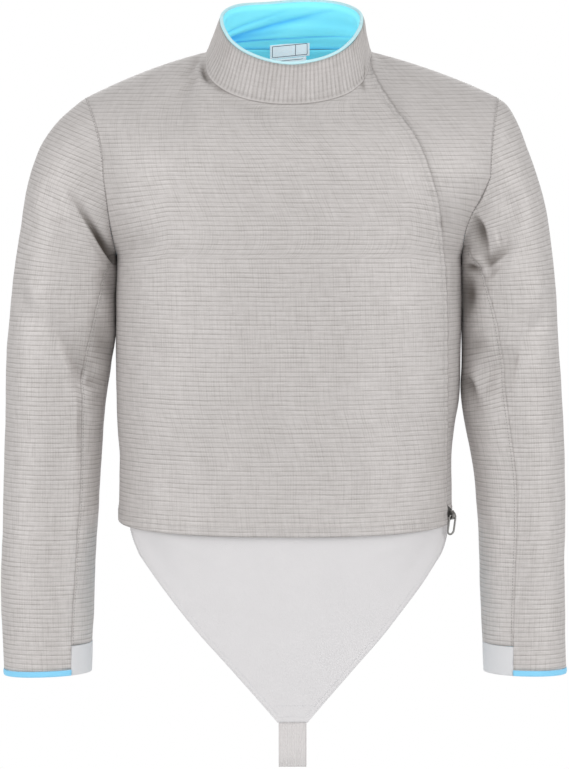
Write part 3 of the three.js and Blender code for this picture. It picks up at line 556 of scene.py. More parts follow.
def lameMaterial(name, ribbed=False, contrast=1.0):
    # fine metallic weave: darker cross lines of uneven strength, each with a brighter band below that is a
    # painted highlight, faint threads along, soft mottling; the collar's ribs instead, with painted shade in
    # the grooves between them; painted shade from the mesh attribute darkens the cloth in creases, seams and
    # under edges
    paint = Paint(name)
    u, v = paint.uv()
    wander = paint.noise(paint.coordinates(u * 9, v * 14), 1, 2) - 0.5
    row = (v + wander * 0.0034) / lame["pitch"]
    step = row.math("FRACT")
    patch = paint.noise(paint.coordinates(u * 22, row.math("FLOOR") * 3.7, 2.0), 1, 2)
    line = paint.between((step - 0.5).math("ABSOLUTE"), 0.05, 0.19, 1, 0)
    line = line * paint.between(patch, 0.3, 0.66, 0.4, 1)
    # painted highlight: a brighter band below each dark line
    paintedLight = paint.between((step - 0.26).math("ABSOLUTE"), 0.05, 0.2, 1, 0)
    paintedLight = paintedLight * paint.between(patch, 0.36, 0.7, 0.2, 1)
    drift = paint.noise(paint.coordinates(u * 25, v * 9, 5.0), 1, 1) - 0.5
    column = (u + drift * 0.002) / lame["threadPitch"]
    fromThread = (column.math("FRACT") - 0.5).math("ABSOLUTE")
    threadPatch = paint.noise(paint.coordinates(column.math("FLOOR") * 4.1, v * 24, 8.0), 1, 2)
    thread = paint.between(fromThread, 0.08, 0.3, 1, 0) * paint.between(threadPatch, 0.4, 0.66)
    soft = paint.noise(paint.coordinates(u * 30, v * 8, 3.0), 1, 3, 0.6) - 0.5
    cross = paint.noise(paint.coordinates(u * 45, v * 320, 7.0), 1, 2, 0.6) - 0.5
    along = paint.noise(paint.coordinates(u * 330, v * 50, 4.0), 1, 2, 0.6) - 0.5
    grain = paint.noise(paint.coordinates(u * 800, v * 800), 1, 1) - 0.5
    height = line * -0.7 - thread * 0.3 + grain * 0.5
    if ribbed:
        rib = ((u / lame["ribPitch"]).math("FRACT") - 0.5).math("ABSOLUTE")
        groove = paint.between(rib, 0.16, 0.5) * paint.between(v, 0.001, 0.004)
        # painted shade: darker in the grooves between the ribs
        darkness = groove * 0.27 + line * 0.05 + soft * 0.5 + cross * 0.35 + along * 0.5 + grain * 0.4 + 0.21
        height = groove * -1 + grain * 0.4
    else:
        marks = line * 0.42 - paintedLight * 0.15 + thread * 0.16 + soft * 0.24 + cross * 0.5
        marks = marks + along * 0.34 + grain * 0.36
        darkness = marks * contrast + 0.22
    colour = paint.blend(darkness.math("ADD", 0, clamp=True), lame["light"], lame["dark"])
    # painted shade: the attribute darkens the colour towards the shade colour
    crease = paint.node("ShaderNodeAttribute", {"attribute_name": "crease"}, None, "Fac")
    colour = paint.blend(crease.math("ADD", 0, clamp=True), colour, lame["shadeColour"])
    return paint.done({
        "Base Color": colour, "Metallic": lame["metallic"], "Roughness": lame["roughness"],
        "Sheen Weight": 0.1, "Sheen Roughness": 0.6,
    }, height, 0.0003, 0.7)


def clothMaterial(name, light, dark, shadeColour, threadSize, roughness=0.85, sheen=0.2, contrast=1.0, paintedLight=0.0):
    # plain cloth: a fine two-way weave with soft unevenness, darkened by the painted shade attribute towards
    # the shade colour in its creases; its glow is painted light: an emission in the cloth's own colour
    paint = Paint(name)
    u, v = paint.uv()
    across = (u * (2 * math.pi / threadSize)).math("SINE")
    along = (v * (2 * math.pi / threadSize)).math("SINE")
    weave = across * along
    soft = paint.noise(paint.coordinates(u * 18, v * 18), 1, 3) - 0.5
    grain = paint.noise(paint.coordinates(u * 700, v * 700), 1, 1) - 0.5
    darkness = weave * (0.12 * contrast) + soft * (0.6 * contrast) + grain * (0.3 * contrast) + 0.4
    colour = paint.blend(darkness.math("ADD", 0, clamp=True), light, dark)
    # painted shade: the attribute darkens the colour towards the shade colour
    crease = paint.node("ShaderNodeAttribute", {"attribute_name": "crease"}, None, "Fac")
    colour = paint.blend(crease.math("ADD", 0, clamp=True), colour, shadeColour)
    return paint.done({
        "Base Color": colour, "Roughness": roughness, "Sheen Weight": sheen, "Sheen Roughness": 0.5,
        "Emission Color": colour, "Emission Strength": paintedLight,
    }, weave * 0.5 + grain * 0.5, 0.0002, 0.8)


def elasticMaterial():
    # woven elastic: close ribs along the band, cross rows between them
    paint = Paint("strapElastic")
    u, v = paint.uv()
    rib = (u * (2 * math.pi / 0.0021)).math("SINE")
    row = (v * (2 * math.pi / 0.0016)).math("SINE")
    grain = paint.noise(paint.coordinates(u * 500, v * 500), 1, 2) - 0.5
    darkness = rib * 0.14 + row * 0.1 + grain * 0.3 + 0.4
    colour = paint.blend(darkness.math("ADD", 0, clamp=True), (0.80, 0.77, 0.765), (0.66, 0.63, 0.625))
    finish = {"Base Color": colour, "Roughness": 0.85, "Sheen Weight": 0.2}
    return paint.done(finish, rib * 0.6 + row * 0.3, 0.0004)


def labelMaterial(name, frameLines):
    # a white satin label, glowing a little as painted light; frameLines draws the empty printed frame and its
    # divider, in shares of the label
    paint = Paint(name)
    u, v = paint.uv()
    across = (u * (2 * math.pi / 0.0006)).math("SINE")
    grain = paint.noise(paint.coordinates(u * 800, v * 800), 1, 1) - 0.5
    ink = None
    for low, high, start, end, width, alongU in frameLines:
        main, cross = (v, u) if alongU else (u, v)
        mark = paint.between((main - (low + high) / 2).math("ABSOLUTE"), width * 0.6, width, 1, 0)
        mark = mark * paint.between((cross - (start + end) / 2).math("ABSOLUTE"), (end - start) / 2,
                                    (end - start) / 2 + 0.0002, 1, 0)
        ink = mark if ink is None else ink.math("MAXIMUM", mark)
    base = paint.blend((grain * 0.5 + 0.3).math("ADD", 0, clamp=True), (0.93, 0.93, 0.94), (0.78, 0.79, 0.81))
    colour = base if ink is None else paint.blend(ink, base, (0.06, 0.06, 0.09))
    # painted light: the emission makes the label glow
    return paint.done({
        "Base Color": colour, "Roughness": 0.5, "Emission Color": colour, "Emission Strength": 0.25,
    }, across * 0.5 + grain * 0.5, 0.0001)


def metalMaterial():
    # cast grey metal, a little worn: fine scratches and cloudy roughness
    paint = Paint("zipMetal")
    place = paint.node("ShaderNodeTexCoord", None, None, "Object")
    cloud = paint.noise(place, 350, 3)
    scratch = paint.noise(paint.node("ShaderNodeVectorMath", {"operation": "MULTIPLY"}, {
        0: place, 1: (3000, 3000, 300)}), 1, 1)
    colour = paint.blend(cloud, (0.36, 0.355, 0.345), (0.24, 0.235, 0.225))
    return paint.done({
        "Base Color": colour, "Metallic": 0.85, "Roughness": cloud * 0.25 + 0.28,
    }, scratch * 0.4 + cloud * 0.6, 0.00006)


def threadMaterial(name, colour):
    paint = Paint(name)
    place = paint.node("ShaderNodeTexCoord", None, None, "Object")
    twist = paint.noise(place, 1800, 2)
    shade = tuple(c * 0.72 for c in colour)
    return paint.done({"Base Color": paint.blend(twist, colour, shade), "Roughness": 0.7}, twist, 0.0001)


materials = {
    "lame": lameMaterial("metallicWeave", contrast=0.86),
    "sleeve": lameMaterial("sleeveWeave", contrast=0.96),
    "collar": lameMaterial("metallicRib", ribbed=True),
    # each cloth's third colour is the painted shade colour that its creases darken to
    "lining": clothMaterial(
        "skyLining", (0.31, 0.90, 1.0), (0.19, 0.78, 1.0), (0.02, 0.48, 0.95), 0.0016, 0.7, 0.2, 0.8),
    # painted light: the collar lining glows a little (its last number)
    "collarLining": clothMaterial(
        "collarSkyLining", (0.29, 0.91, 1.0), (0.16, 0.79, 1.0), (0.02, 0.40, 0.94), 0.0016,
        0.7, 0.2, 0.8, 0.22),
    "trim": clothMaterial(
        "blueBinding", (0.30, 0.72, 0.97), (0.19, 0.60, 0.93), (0.10, 0.40, 0.75), 0.0014, 0.8, 0.2, 0.8),
    "piping": clothMaterial(
        "palePiping", (0.66, 0.93, 0.97), (0.50, 0.87, 0.95), (0.20, 0.60, 0.80), 0.0014, 0.75, 0.2, 0.8),
    "white": clothMaterial(
        "whiteCloth", (0.775, 0.76, 0.768), (0.685, 0.67, 0.678), (0.45, 0.45, 0.47), 0.0012, 0.88, 0.1, 0.6),
    "patch": clothMaterial(
        "whitePatch", (0.75, 0.75, 0.765), (0.66, 0.66, 0.675), (0.35, 0.35, 0.36), 0.0012, 0.88, 0.1, 0.6),
    "elastic": elasticMaterial(),
    "tape": clothMaterial(
        "zipTape", (0.12, 0.115, 0.11), (0.06, 0.058, 0.055), (0.03, 0.03, 0.03), 0.0011, 0.8, 0.1),
    "metal": metalMaterial(),
    "greyThread": threadMaterial("greyThread", (0.30, 0.29, 0.275)),
    "paleThread": threadMaterial("paleThread", (0.62, 0.61, 0.60)),
    "whiteThread": threadMaterial("whiteThread", (0.78, 0.78, 0.80)),
    "blueThread": threadMaterial("blueThread", (0.10, 0.42, 0.72)),
}
print("materials made")

# body panels

bodyFolds = table(
    "face x0 z0 x1 z1 x2 z2 left right height peak shade",
    # beside both armpits, under the collar, beside the lapped edge
    ("front", -200, -240, -176, -226, -132, -222, 16, 8, -2.6, 0.2, 0.06),
    ("front", -196, -262, -172, -246, -130, -242, 10, 6, 1.6, 0.2, 0),
    ("front", 198, -246, 182, -230, 170, -222, 9, 6, -1.6, 0.3, 0.05),
    ("front", -99, -8, -109, -30, -86, -45, 3.5, 2.6, -3.6, 0.55, 0.75),
    ("front", -105, -8, -117, -30, -96, -50, 3, 3, 2.0, 0.5, 0),
    ("front", -92, -43, -74, -52, -54, -58, 3, 2.5, -1.6, 0.3, 0.40),
    ("front", -104, -16, -110, -12, -120, -14, 2.5, 2.5, -1.4, 0.3, 0.25),
    ("front", -106, -14, -120, -30, -138, -40, 4, 4, -1.8, 0.2, 0.16),
    ("front", -104, -26, -118, -46, -134, -62, 4, 4, -1.6, 0.2, 0.14),
    ("front", -84, -50, -50, -74, 0, -80, 5, 9, -1.0, 0.4, 0.12),
    ("front", 85, -36, 85, -42, 90, -52, 2, 2.6, -2.6, 0.3, 0.75),
    ("front", 80, -40, 80, -46, 84, -56, 3, 3, 1.8, 0.5, 0),
    ("front", 174, -188, 180, -206, 181, -224, 3, 3, -2.2, 0.5, 0.35),
    ("front", 180, -178, 188, -200, 190, -232, 5, 4, -1.6, 0.5, 0.10),
    ("front", 170, -170, 178, -180, 186, -180, 4, 4, 1.4, 0.3, 0),
    ("front", 186, -236, 192, -262, 188, -300, 5, 5, 1.2, 0.4, 0),
    ("front", 96, -44, 120, -72, 150, -96, 8, 5, -1.3, 0.4, 0.05),
    # broad soft ones over the chest and the waist
    ("front", -100, -30, -128, -60, -160, -84, 10, 6, -1.4, 0.5, 0),
    ("front", -140, -150, -120, -190, -120, -240, 14, 10, -1.2, 0.5, 0),
    ("front", -150, -330, -120, -430, -128, -540, 24, 15, 1.6, 0.5, 0),
    ("front", -86, -360, -80, -460, -92, -556, 22, 14, -1.3, 0.5, 0),
    ("front", 70, -380, 96, -460, 92, -556, 26, 15, 1.4, 0.5, 0),
    ("front", 140, -300, 150, -420, 138, -550, 20, 12, -1.3, 0.5, 0),
    ("front", -30, -420, -22, -500, -34, -562, 24, 14, 1.0, 0.5, 0),
    ("front", -196, -340, -172, -356, -120, -366, 12, 7, -1.2, 0.3, 0.03),
    # behind
    ("back", -196, -240, -150, -214, -90, -206, 9, 17, -2.8, 0.2, 0.12),
    ("back", 196, -240, 152, -210, 92, -200, 17, 9, -2.8, 0.2, 0.12),
    ("back", -190, -266, -150, -250, -104, -252, 6, 11, 1.7, 0.2, 0),
    ("back", 192, -268, 150, -252, 108, -254, 11, 6, 1.7, 0.2, 0),
    ("back", -60, -8, 0, -14, 62, -8, 6, 4, -1.4, 0.5, 0.2),
    ("back", -90, -30, -130, -60, -170, -84, 12, 8, -1.4, 0.4, 0),
    ("back", 90, -30, 130, -60, 174, -84, 8, 12, -1.4, 0.4, 0),
    ("back", -130, -320, -104, -430, -118, -556, 26, 16, 2.2, 0.5, 0),
    ("back", 126, -330, 100, -440, 116, -556, 16, 26, 2.2, 0.5, 0),
    ("back", -40, -360, -30, -460, -44, -560, 24, 14, -1.8, 0.5, 0),
    ("back", 48, -380, 34, -470, 42, -560, 24, 14, -1.6, 0.5, 0),
    ("back", -150, -440, -60, -456, 20, -440, 16, 9, 1.2, 0.5, 0),
    ("back", 160, -400, 90, -424, 30, -414, 16, 9, -1.2, 0.5, 0),
)
panel = {
    "cloth": 1.6, "seamGap": 0.3, "hemBand": 13, "hemStitch": 11, "columns": 150,
    "lowRows": 104, "armholeRows": 36, "topRows": 40, "backColumns": 160,
    "lapWidth": 26, "lapStitch": 6.5, "lapLow": 0.3, "lapHigh": 1.9,
    "lapColumns": 1 / 29, "frontCut": (0.491, 0.634, 0.2477), "sideCut": (0.219, 0.630, 0.0542),
    "backCut": (0.575, 0.630, 0.2967),
}
# even in height beside the armholes, where the rings' heights follow a cosine
armholeShare = np.arccos(1 - np.arange(panel["armholeRows"]) / panel["armholeRows"]) / (math.pi / 2)
rowsV = np.concatenate([
    np.linspace(0, body["armpitV"], panel["lowRows"], endpoint=False),
    mix(body["armpitV"], body["middleV"], armholeShare),
    np.linspace(body["middleV"], 1, panel["topRows"] + 1),
])


def panelRelief(points, face, seed):
    # folds and broad unevenness, and the folds' shade
    x, z = points[..., 0], points[..., 2]
    rise, shade = foldRelief(points, bodyFolds, face)
    return rise + 0.5 * waves(x, z, seed, 120) + 0.22 * waves(x, z, seed + 1, 42), shade


def hemRelief(fromHem, along):
    # the turned-up hem stands a little proud up to its stitch line, which pulls in, and puckers softly
    band = smoothStep(panel["hemBand"] + 1.5, panel["hemBand"] - 1.5, fromHem) * 0.5
    groove = -0.5 * hump(fromHem - panel["hemStitch"], 1.3)
    pucker = 0.6 * np.sin(along * 2 * math.pi / 13 + 2.3 * np.sin(along / 31)) * hump(fromHem - 9, 9)
    return band + groove + pucker * (0.5 + 0.5 * np.sin(along / 23))


def hemShade(fromHem, along):
    # the stitch line, and short creases across the hem where it puckers
    line = 0.14 * hump(fromHem - panel["hemStitch"], 1.2) * (0.75 + 0.25 * np.sin(along * 1.9))
    crease = np.maximum(np.sin(along * 2 * math.pi / 6.5 + 2.6 * np.sin(along / 19)) - 0.72, 0) / 0.28
    return line + 0.16 * crease * hump(fromHem - 8, 6) * (0.5 + 0.5 * np.sin(along / 23))


def panelUv(points, middle):
    # along a row from its middle, and the height, with the weave's lines bent down towards the armpits and
    # closer over the upper chest;
    # the second result is the length up each column
    across = arcLengths(points, 1)
    x, z = np.abs(points[..., 0]), points[..., 2]
    bend = 0.2 * np.maximum(x - 140, 0) * hump(z + 215, 50)
    dense = 0.27 * 30 * np.log1p(np.exp((z + 135) / 30))
    return np.stack([across - across[:, [middle]], z + bend + dense], -1), arcLengths(points, 0)


def seamShade(distance, line, along):
    # a seam's stitched line, darker and broken along its length
    broken = 0.75 + 0.25 * np.sin(along * 1.9) * np.sin(along * 0.37)
    return 0.16 * broken * hump(distance - line, 1.1) + 0.16 * hump(distance, 1.2)


def hemInside(upLengths):
    # the inner faces of the turned-up hem show the outer cloth
    return (upLengths[:-1, :-1] > panel["hemBand"]).astype(np.int32)


edgeU = closureU(rowsV)
edgeWobble = 0.0010 * np.sin(rowsV * 2 * math.pi / 0.037)
edgeU = edgeU + edgeWobble * smoothStep(0.72, 0.80, rowsV) * smoothStep(1, 0.98, rowsV)
share = np.linspace(0, 1, panel["columns"] + 1)
frontU = share[None, :] * edgeU[:, None]
frontV = np.broadcast_to(rowsV[:, None], frontU.shape)
front = bodyPoint("front", frontU, frontV)
frontUv, frontUp = panelUv(front, panel["columns"] // 2)
frontNormal = gridNormals(front)
toEdge = arcLengths(front, 1)
toEdge = toEdge[:, [-1]] - toEdge
lapHeight = mix(panel["lapLow"], panel["lapHigh"], smoothStep(-560, -440, front[..., 2]))
lapLift = smoothStep(panel["lapWidth"], 0, toEdge) * smoothStep(0, 0.06, 1 - frontV) * lapHeight
lapStitch = -0.8 * hump(toEdge - panel["lapStitch"], 1.3)
lapPucker = 0.6 * np.sin(frontUp * 2 * math.pi / 17 + 2 * np.sin(frontUp / 47)) * hump(toEdge - 4, 9)
rise, frontShade = panelRelief(front, "front", 11)
rise = rise * smoothStep(0, 0.014, share) + hemRelief(frontUp, frontUv[..., 0])
rise = (rise + lapLift + lapStitch + lapPucker) * smoothStep(0, 0.03, 1 - frontV)
front = front + frontNormal * rise[..., None]
frontShade = frontShade + seamShade(toEdge, panel["lapStitch"], frontUp) + hemShade(frontUp, frontUv[..., 0])
frontShade = np.clip(frontShade, 0, 1)
frontPiece = clothWall(
    "frontPanelCloth", front, frontUv, panel["cloth"], [materials["lame"], materials["lining"]],
    hemInside(frontUp), crease=frontShade, node="front_panel", slot="lame")
declare(frontPiece, front, panel["frontCut"])

# the side front lies under the lap and rises to the surface at its seams
lap = 1 / 10
sideShare = np.linspace(0, 1, 41)
underEdge = edgeU * (1 - panel["lapColumns"])
sideU = np.where(
    sideShare[None, :] < lap,
    mix(underEdge[:, None], edgeU[:, None], sideShare[None, :] / lap),
    mix(edgeU[:, None], 1, (sideShare[None, :] - lap) / (1 - lap)),
)
sideV = np.broadcast_to(rowsV[:, None], sideU.shape)
sideFront = bodyPoint("front", np.minimum(sideU, 1), sideV)
sideUv, sideUp = panelUv(sideFront, 0)
sideNormal = gridNormals(sideFront)
sunk = (panel["cloth"] + panel["seamGap"]) * (1 - smoothStep(0.45, 1, sideShare))[None, :]
sunk = sunk * (1 - smoothStep(0.92, 0.99, sideV) * smoothStep(0.10, 0.16, sideShare)[None, :])
sideRise, sideShade = panelRelief(sideFront, "front", 11)
sideRise = sideRise * (smoothStep(0.1, 0.3, sideShare) * smoothStep(1, 0.95, sideShare))[None, :]
sideRise = sideRise + hemRelief(sideUp, sideUv[..., 0])
sideRise = sideRise * smoothStep(0, 0.03, 1 - sideV) - sunk
sideFront = sideFront + sideNormal * sideRise[..., None]
fromLap = np.abs(arcLengths(sideFront, 1) - arcLengths(sideFront, 1)[:, [4]])
lapShade = mix(0.1, 0.6, smoothStep(-330, -170, sideFront[..., 2])) * np.exp(-fromLap / 1.7)
sideShade = np.clip(sideShade + lapShade + hemShade(sideUp, sideUv[..., 0]), 0, 1)
sidePiece = clothWall(
    "sideFrontCloth", sideFront, sideUv, panel["cloth"], [materials["lame"], materials["lining"]],
    hemInside(sideUp), crease=sideShade, node="side_front_panel", slot="lame")
declare(sidePiece, sideFront, panel["sideCut"])

backU, backV = np.broadcast_arrays(np.linspace(0, 1, panel["backColumns"] + 1)[None, :], rowsV[:, None])
back = bodyPoint("back", backU, backV)
backUv, backUp = panelUv(back, panel["backColumns"] // 2)
backRise, backShade = panelRelief(back, "back", 23)
backRise = backRise * smoothStep(0, 0.014, np.minimum(backU, 1 - backU))
backRise = (backRise + hemRelief(backUp, backUv[..., 0])) * smoothStep(0, 0.03, 1 - backV)
back = back - gridNormals(back) * backRise[..., None]
backShade = np.clip(backShade + hemShade(backUp, backUv[..., 0]), 0, 1)
backPiece = clothWall(
    "backPanelCloth", back, backUv, panel["cloth"], [materials["lame"], materials["lining"]],
    hemInside(backUp), outward=-1, crease=backShade, node="back_panel", slot="lame")
declare(backPiece, back, panel["backCut"])
print("body panels made")

# collar with its lining and piping

collar = {
    "cloth": 3, "lining": 1.2, "gap": 0.3, "ribs": 112, "ribHeight": 0.75, "stepsPerRib": 8,
    "cut": (0.600, 0.060, 0.0282), "liningCut": (0.600, 0.062, 0.0264),
    "pipingRadius": 1.3, "pipingBar": 2.1, "pipingSteps": 280, "pipingSides": 12,
    "sag": 4.5, "sagAngle": 168, "sagWidth": 30,  # the rim's dip, in mm and degrees
    "bulge": 4.6, "bulgeAngle": 68, "bulgeWidth": 17, "bulgeHeight": 0.30,  # the foot, in mm, degrees, share
    "notch": 1.6, "notchWidth": 1.3, "notchTurn": 0.054, "notchSlant": 0.09, "notchShade": 0.75,
    "puff": 3.6, "liningTall": 52,
}
closureAngle = neckPointAngle * (2 / 14 - 1)


def collarSurface(turn, height):
    # the collar's cone, its rim sagging towards the back on the wearer's right
    angle = closureAngle + turn * 360
    sag = collar["sag"] * hump(angle - collar["sagAngle"], collar["sagWidth"])
    return collarPoint(angle, height) - stack(0, 0, sag * height ** 2)


def outOf(points):
    # the direction away from the neck's middle, level
    return unit(points * [1, 1, 0] - [0, -8, 0])


turns = np.linspace(0, 1, collar["ribs"] * collar["stepsPerRib"] + 1)
heights = steps((-0.012, 0.16, 7), (0.16, 1, 9))
collarGrid = collarSurface(turns[None, :], heights[:, None])
collarAcross = arcLengths(collarGrid, 1)
ribWave = np.abs(np.sin(turns * collar["ribs"] * math.pi)) ** 0.6
ribFade = smoothStep(0.02, 0.09, heights) * (1 - 0.5 * smoothStep(0.8, 1, heights))
slump = 0.8 * waves(collarAcross, heights[:, None] * 60, 31, 90)
collarRise = collar["ribHeight"] * (ribWave[None, :] - 0.5) * ribFade[:, None] + slump * heights[:, None]
collarRise = collarRise + 0.9 * hump(heights[:, None] - 0.02, 0.09)
collarAngles = closureAngle + turns[None, :] * 360
bulge = hump(collarAngles - collar["bulgeAngle"], collar["bulgeWidth"])
collarRise = collarRise + collar["bulge"] * bulge * hump(heights[:, None] - 0.02, collar["bulgeHeight"])
fromNotch = np.abs(turns[None, :] - collar["notchTurn"] + collar["notchSlant"] * heights[:, None])
notch = hump(fromNotch * collarAcross[0, -1], collar["notchWidth"]) * smoothStep(0.30, 0.16, heights)[:, None]
collarRise = collarRise - collar["notch"] * notch
collarRise = collarRise - 0.5 * hump(heights[:, None] - 0.10, 0.03)
collarGrid = collarGrid + outOf(collarGrid) * collarRise[..., None]
ribPlaces = np.broadcast_to(turns * collar["ribs"] * lame["ribPitch"] / mm, collarAcross.shape)
collarUv = np.stack([ribPlaces, arcLengths(collarGrid, 0)], -1)
collarShade = 0.12 * hump(heights - 0.09, 0.03) + 0.45 * hump(heights + 0.012, 0.012)
collarShade = np.clip(collarShade[:, None] + collar["notchShade"] * notch, 0, 1)
collarPiece = clothWall(
    "collarCloth", collarGrid, collarUv, collar["cloth"], [materials["collar"]], outward=-1,
    crease=collarShade, node="collar", slot="lame")
declare(collarPiece, collarGrid, collar["cut"])

liningFolds = table(
    "turn0 height0 turn1 height1 left right height shade",
    (0.565, 0.24, 0.715, 0.82, 3.5, 8, -3.0, 0.7), (0.53, 0.36, 0.62, 0.80, 4, 4, -1.6, 0.35),
    (0.56, 0.14, 0.67, 0.30, 4, 5, -2.0, 0.45), (0.62, 0.62, 0.90, 0.52, 5, 9, -1.2, 0.12),
    (0.930, 0.44, 0.905, 0.78, 3, 4, -3.0, 0.9), (0.60, 0.13, 0.915, 0.32, 1.0, 1.5, -1.0, 0.6),
    (0.64, 0.42, 0.86, 0.40, 4, 6, 1.2, 0), (0.10, 0.3, 0.24, 0.7, 5, 6, -2.0, 0.3),
    (0.34, 0.7, 0.44, 0.3, 5, 6, -2.0, 0.3),
)
liningTurns, liningHeights = np.linspace(0, 1, 361), np.linspace(-0.05, 1, 36)
liningGrid = collarSurface(liningTurns[None, :], liningHeights[:, None])
liningAcross = arcLengths(liningGrid, 1)
liningLength = liningAcross[0, -1]
liningUp = np.broadcast_to(liningHeights[:, None] * collar["liningTall"], liningAcross.shape)
flatLining = np.stack([liningAcross, liningUp], -1)
puff = collar["puff"] + 0.9 * waves(flatLining[..., 0], flatLining[..., 1] * 1.6, 47, 70)
liningShade = np.zeros(liningAcross.shape)
for fold in liningFolds:
    scale = np.array([liningLength, collar["liningTall"]])
    ends = np.array([[fold["turn0"], fold["height0"]], [fold["turn1"], fold["height1"]]]) * scale
    distance, side, along = nearLine(flatLining, ends)
    bell = hump(distance, np.where(side > 0, fold["left"], fold["right"])) * (1 - 0.8 * along ** 2)
    puff, liningShade = puff + fold["height"] * bell, liningShade + fold["shade"] * bell
seated = smoothStep(0, 0.22, liningHeights)[:, None] * smoothStep(1, 0.86, liningHeights)[:, None]
puff = np.maximum(puff, 0) * seated
liningShade = np.clip(liningShade + 0.5 * smoothStep(0.05, -0.05, liningHeights)[:, None], 0, 1)
inwards = collar["cloth"] + collar["gap"]
liningGrid = liningGrid - outOf(liningGrid) * (inwards + puff)[..., None]
liningUv = np.stack([liningAcross, arcLengths(liningGrid, 0)], -1)
liningPiece = clothWall(
    "collarLiningCloth", liningGrid, liningUv, collar["lining"], [materials["collarLining"]],
    outward=-1, crease=liningShade, node="collar_lining", slot="lining")
declare(liningPiece, liningGrid, collar["liningCut"])

pipingSteps, pipingSides = collar["pipingSteps"], collar["pipingSides"]
rim = collarSurface(np.linspace(0.002, 0.998, pipingSteps), 1)
rimMiddle = (collar["cloth"] + collar["gap"] + collar["lining"]) / 2
rim = rim - outOf(rim) * rimMiddle + [0, 0, collar["pipingRadius"] + 0.1]
wobble = 0.5 * np.sin(np.linspace(0, 37, pipingSteps)) * np.sin(np.linspace(0, 11, pipingSteps))
rim = rim + np.array([0, 0, 1.0]) * wobble[:, None]
pipingMesh = barMesh("collarPiping", rim, collar["pipingBar"], pipingSides, False)
pipingUv = np.stack([
    np.repeat(np.arange(pipingSteps) * 2.0, pipingSides), np.tile(np.arange(pipingSides) * 0.7, pipingSteps),
], -1) * mm
setUv(pipingMesh, pipingUv)
finish("collarPiping", pipingMesh, [materials["piping"]], node="collar_piping", slot="trim")
print("collar made")

# lining at the back of the neck, and the labels

backLining = {"fromU": 6 / 30, "fromV": 1 - 4 / 18, "cloth": 1.2, "cut": (0.337, 0.125, 0.0355)}
neckU = np.linspace(backLining["fromU"], 1 - backLining["fromU"], 121)
neckV = np.linspace(backLining["fromV"], 0.997, 41)
neckLining = bodyPoint("back", neckU[None, :], neckV[:, None])
neckNormals = gridNormals(neckLining) * -1
neckLiningUv = np.stack([arcLengths(neckLining, 1), arcLengths(neckLining, 0)], -1)
neckLining = neckLining - neckNormals * (panel["cloth"] + 1.2 + 0.8 * (1 + waves(
    neckLiningUv[..., 0], neckLiningUv[..., 1], 61, 60)))[..., None]
neckLiningPiece = clothWall(
    "backNeckLining", neckLining, neckLiningUv, backLining["cloth"], [materials["collarLining"]],
    outward=-1, node="back_lining", slot="lining")
declare(neckLiningPiece, neckLining, backLining["cut"])

labels = {
    "size_label": {
        "name": "sizeLabelCloth", "left": -23, "right": 25, "top": 10, "bottom": -7,
        "cut": (0.048, 0.017, None)},
    "care_label": {
        "name": "careLabelCloth", "left": -19, "right": 21, "top": -7.4, "bottom": -36,
        "cut": (0.040, 0.029, None)},
}
labelY, labelBend, labelTilt, labelCloth = 56, 0.0022, 0.1, 0.5
# start, end, near edge, far edge, width, and whether the line lies across
frameLines = [
    (0.0020, 0.0020, 0.003, 0.045, 0.0005, True), (0.0150, 0.0150, 0.003, 0.045, 0.0005, True),
    (0.003, 0.003, 0.002, 0.015, 0.0005, False), (0.045, 0.045, 0.002, 0.015, 0.0005, False),
    (0.031, 0.031, 0.002, 0.015, 0.0005, False),
]
labelPaints = {
    "size_label": labelMaterial("sizeLabel", frameLines),
    "care_label": labelMaterial("careLabel", [(0.026, 0.026, 0.004, 0.036, 0.0004, True)]),
}
for node, label in labels.items():
    across = np.linspace(label["left"], label["right"], 33)[None, :]
    up = np.linspace(label["bottom"], label["top"], 17)[:, None]
    curl = 0.8 * np.sin(across / 9) * smoothStep(label["top"], label["bottom"], up)
    bend = labelY - labelBend * across ** 2 - curl
    grid = stack(across + 0 * up, bend, up + labelTilt * (across - 1))
    uv = np.stack([across - label["left"] + 0 * up, up - label["bottom"] + 0 * across], -1)
    piece = clothWall(
        label["name"], grid, uv, labelCloth, [labelPaints[node]], outward=-1, node=node, slot="label")
    declare(piece, grid, label["cut"])
print("labels made")

# sleeves

sleeveRings = {
    "right": table(
        "inX inZ outX outZ y depth",
        (206.5, -245, 241, -56, 5, 65), (206, -249, 254, -66, 5, 65), (205.8, -255, 276, -85, 5, 65),
        (205.8, -263, 296, -113, 5, 65), (206, -274, 309, -148, 5, 64.5), (207.6, -290, 317, -188, 5, 64),
        (207.6, -312, 325, -236, 5, 63), (207.6, -340, 332, -288, 5, 62), (213, -374, 337, -340, 5, 61),
        (219, -412, 339.5, -392, 4, 60), (223, -455, 340.5, -446, 2, 58), (226, -503, 342, -502, -1, 55),
        (229, -556, 343.5, -560, -5, 52), (232.5, -612, 345.5, -618, -9, 49),
        (235, -670, 345.5, -676, -13, 46), (237, -742, 342, -746, -18, 42),
    ),
    "left": table(
        "inX inZ outX outZ y depth",
        (206.5, -245, 248, -56, 5, 65), (206, -249, 261, -66.5, 5, 65), (205.6, -255, 274.5, -90, 5, 65),
        (205.6, -263, 285, -118, 5, 65), (205.8, -274, 296.5, -151, 5, 64.5), (206, -290, 307, -190, 5, 64),
        (206.8, -312, 314, -238, 5, 63), (206.8, -340, 320, -290, 5, 62), (206.8, -374, 322.5, -342, 5, 61),
        (206.5, -412, 327, -394, 4, 60), (213, -455, 329, -447, 2, 58), (222, -503, 331.5, -502, -1, 55),
        (226.5, -556, 332, -560, -5, 52), (229, -612, 330.5, -618, -9, 49), (231, -670, 331.5, -676, -13, 46),
        (234, -742, 333, -744, -18, 42),
    ),
}
sleeveSeams = {
    "right": table(
        "v front back", (0, 15, -30), (0.3, 38, -48), (0.5, 57, -62), (0.75, 52, -68), (1, 57, -70)),
    "left": table(
        "v front back", (0, 30, -30), (0.25, 48, -42), (0.5, 76, -52), (0.75, 83, -60), (1, 72, -66)),
}
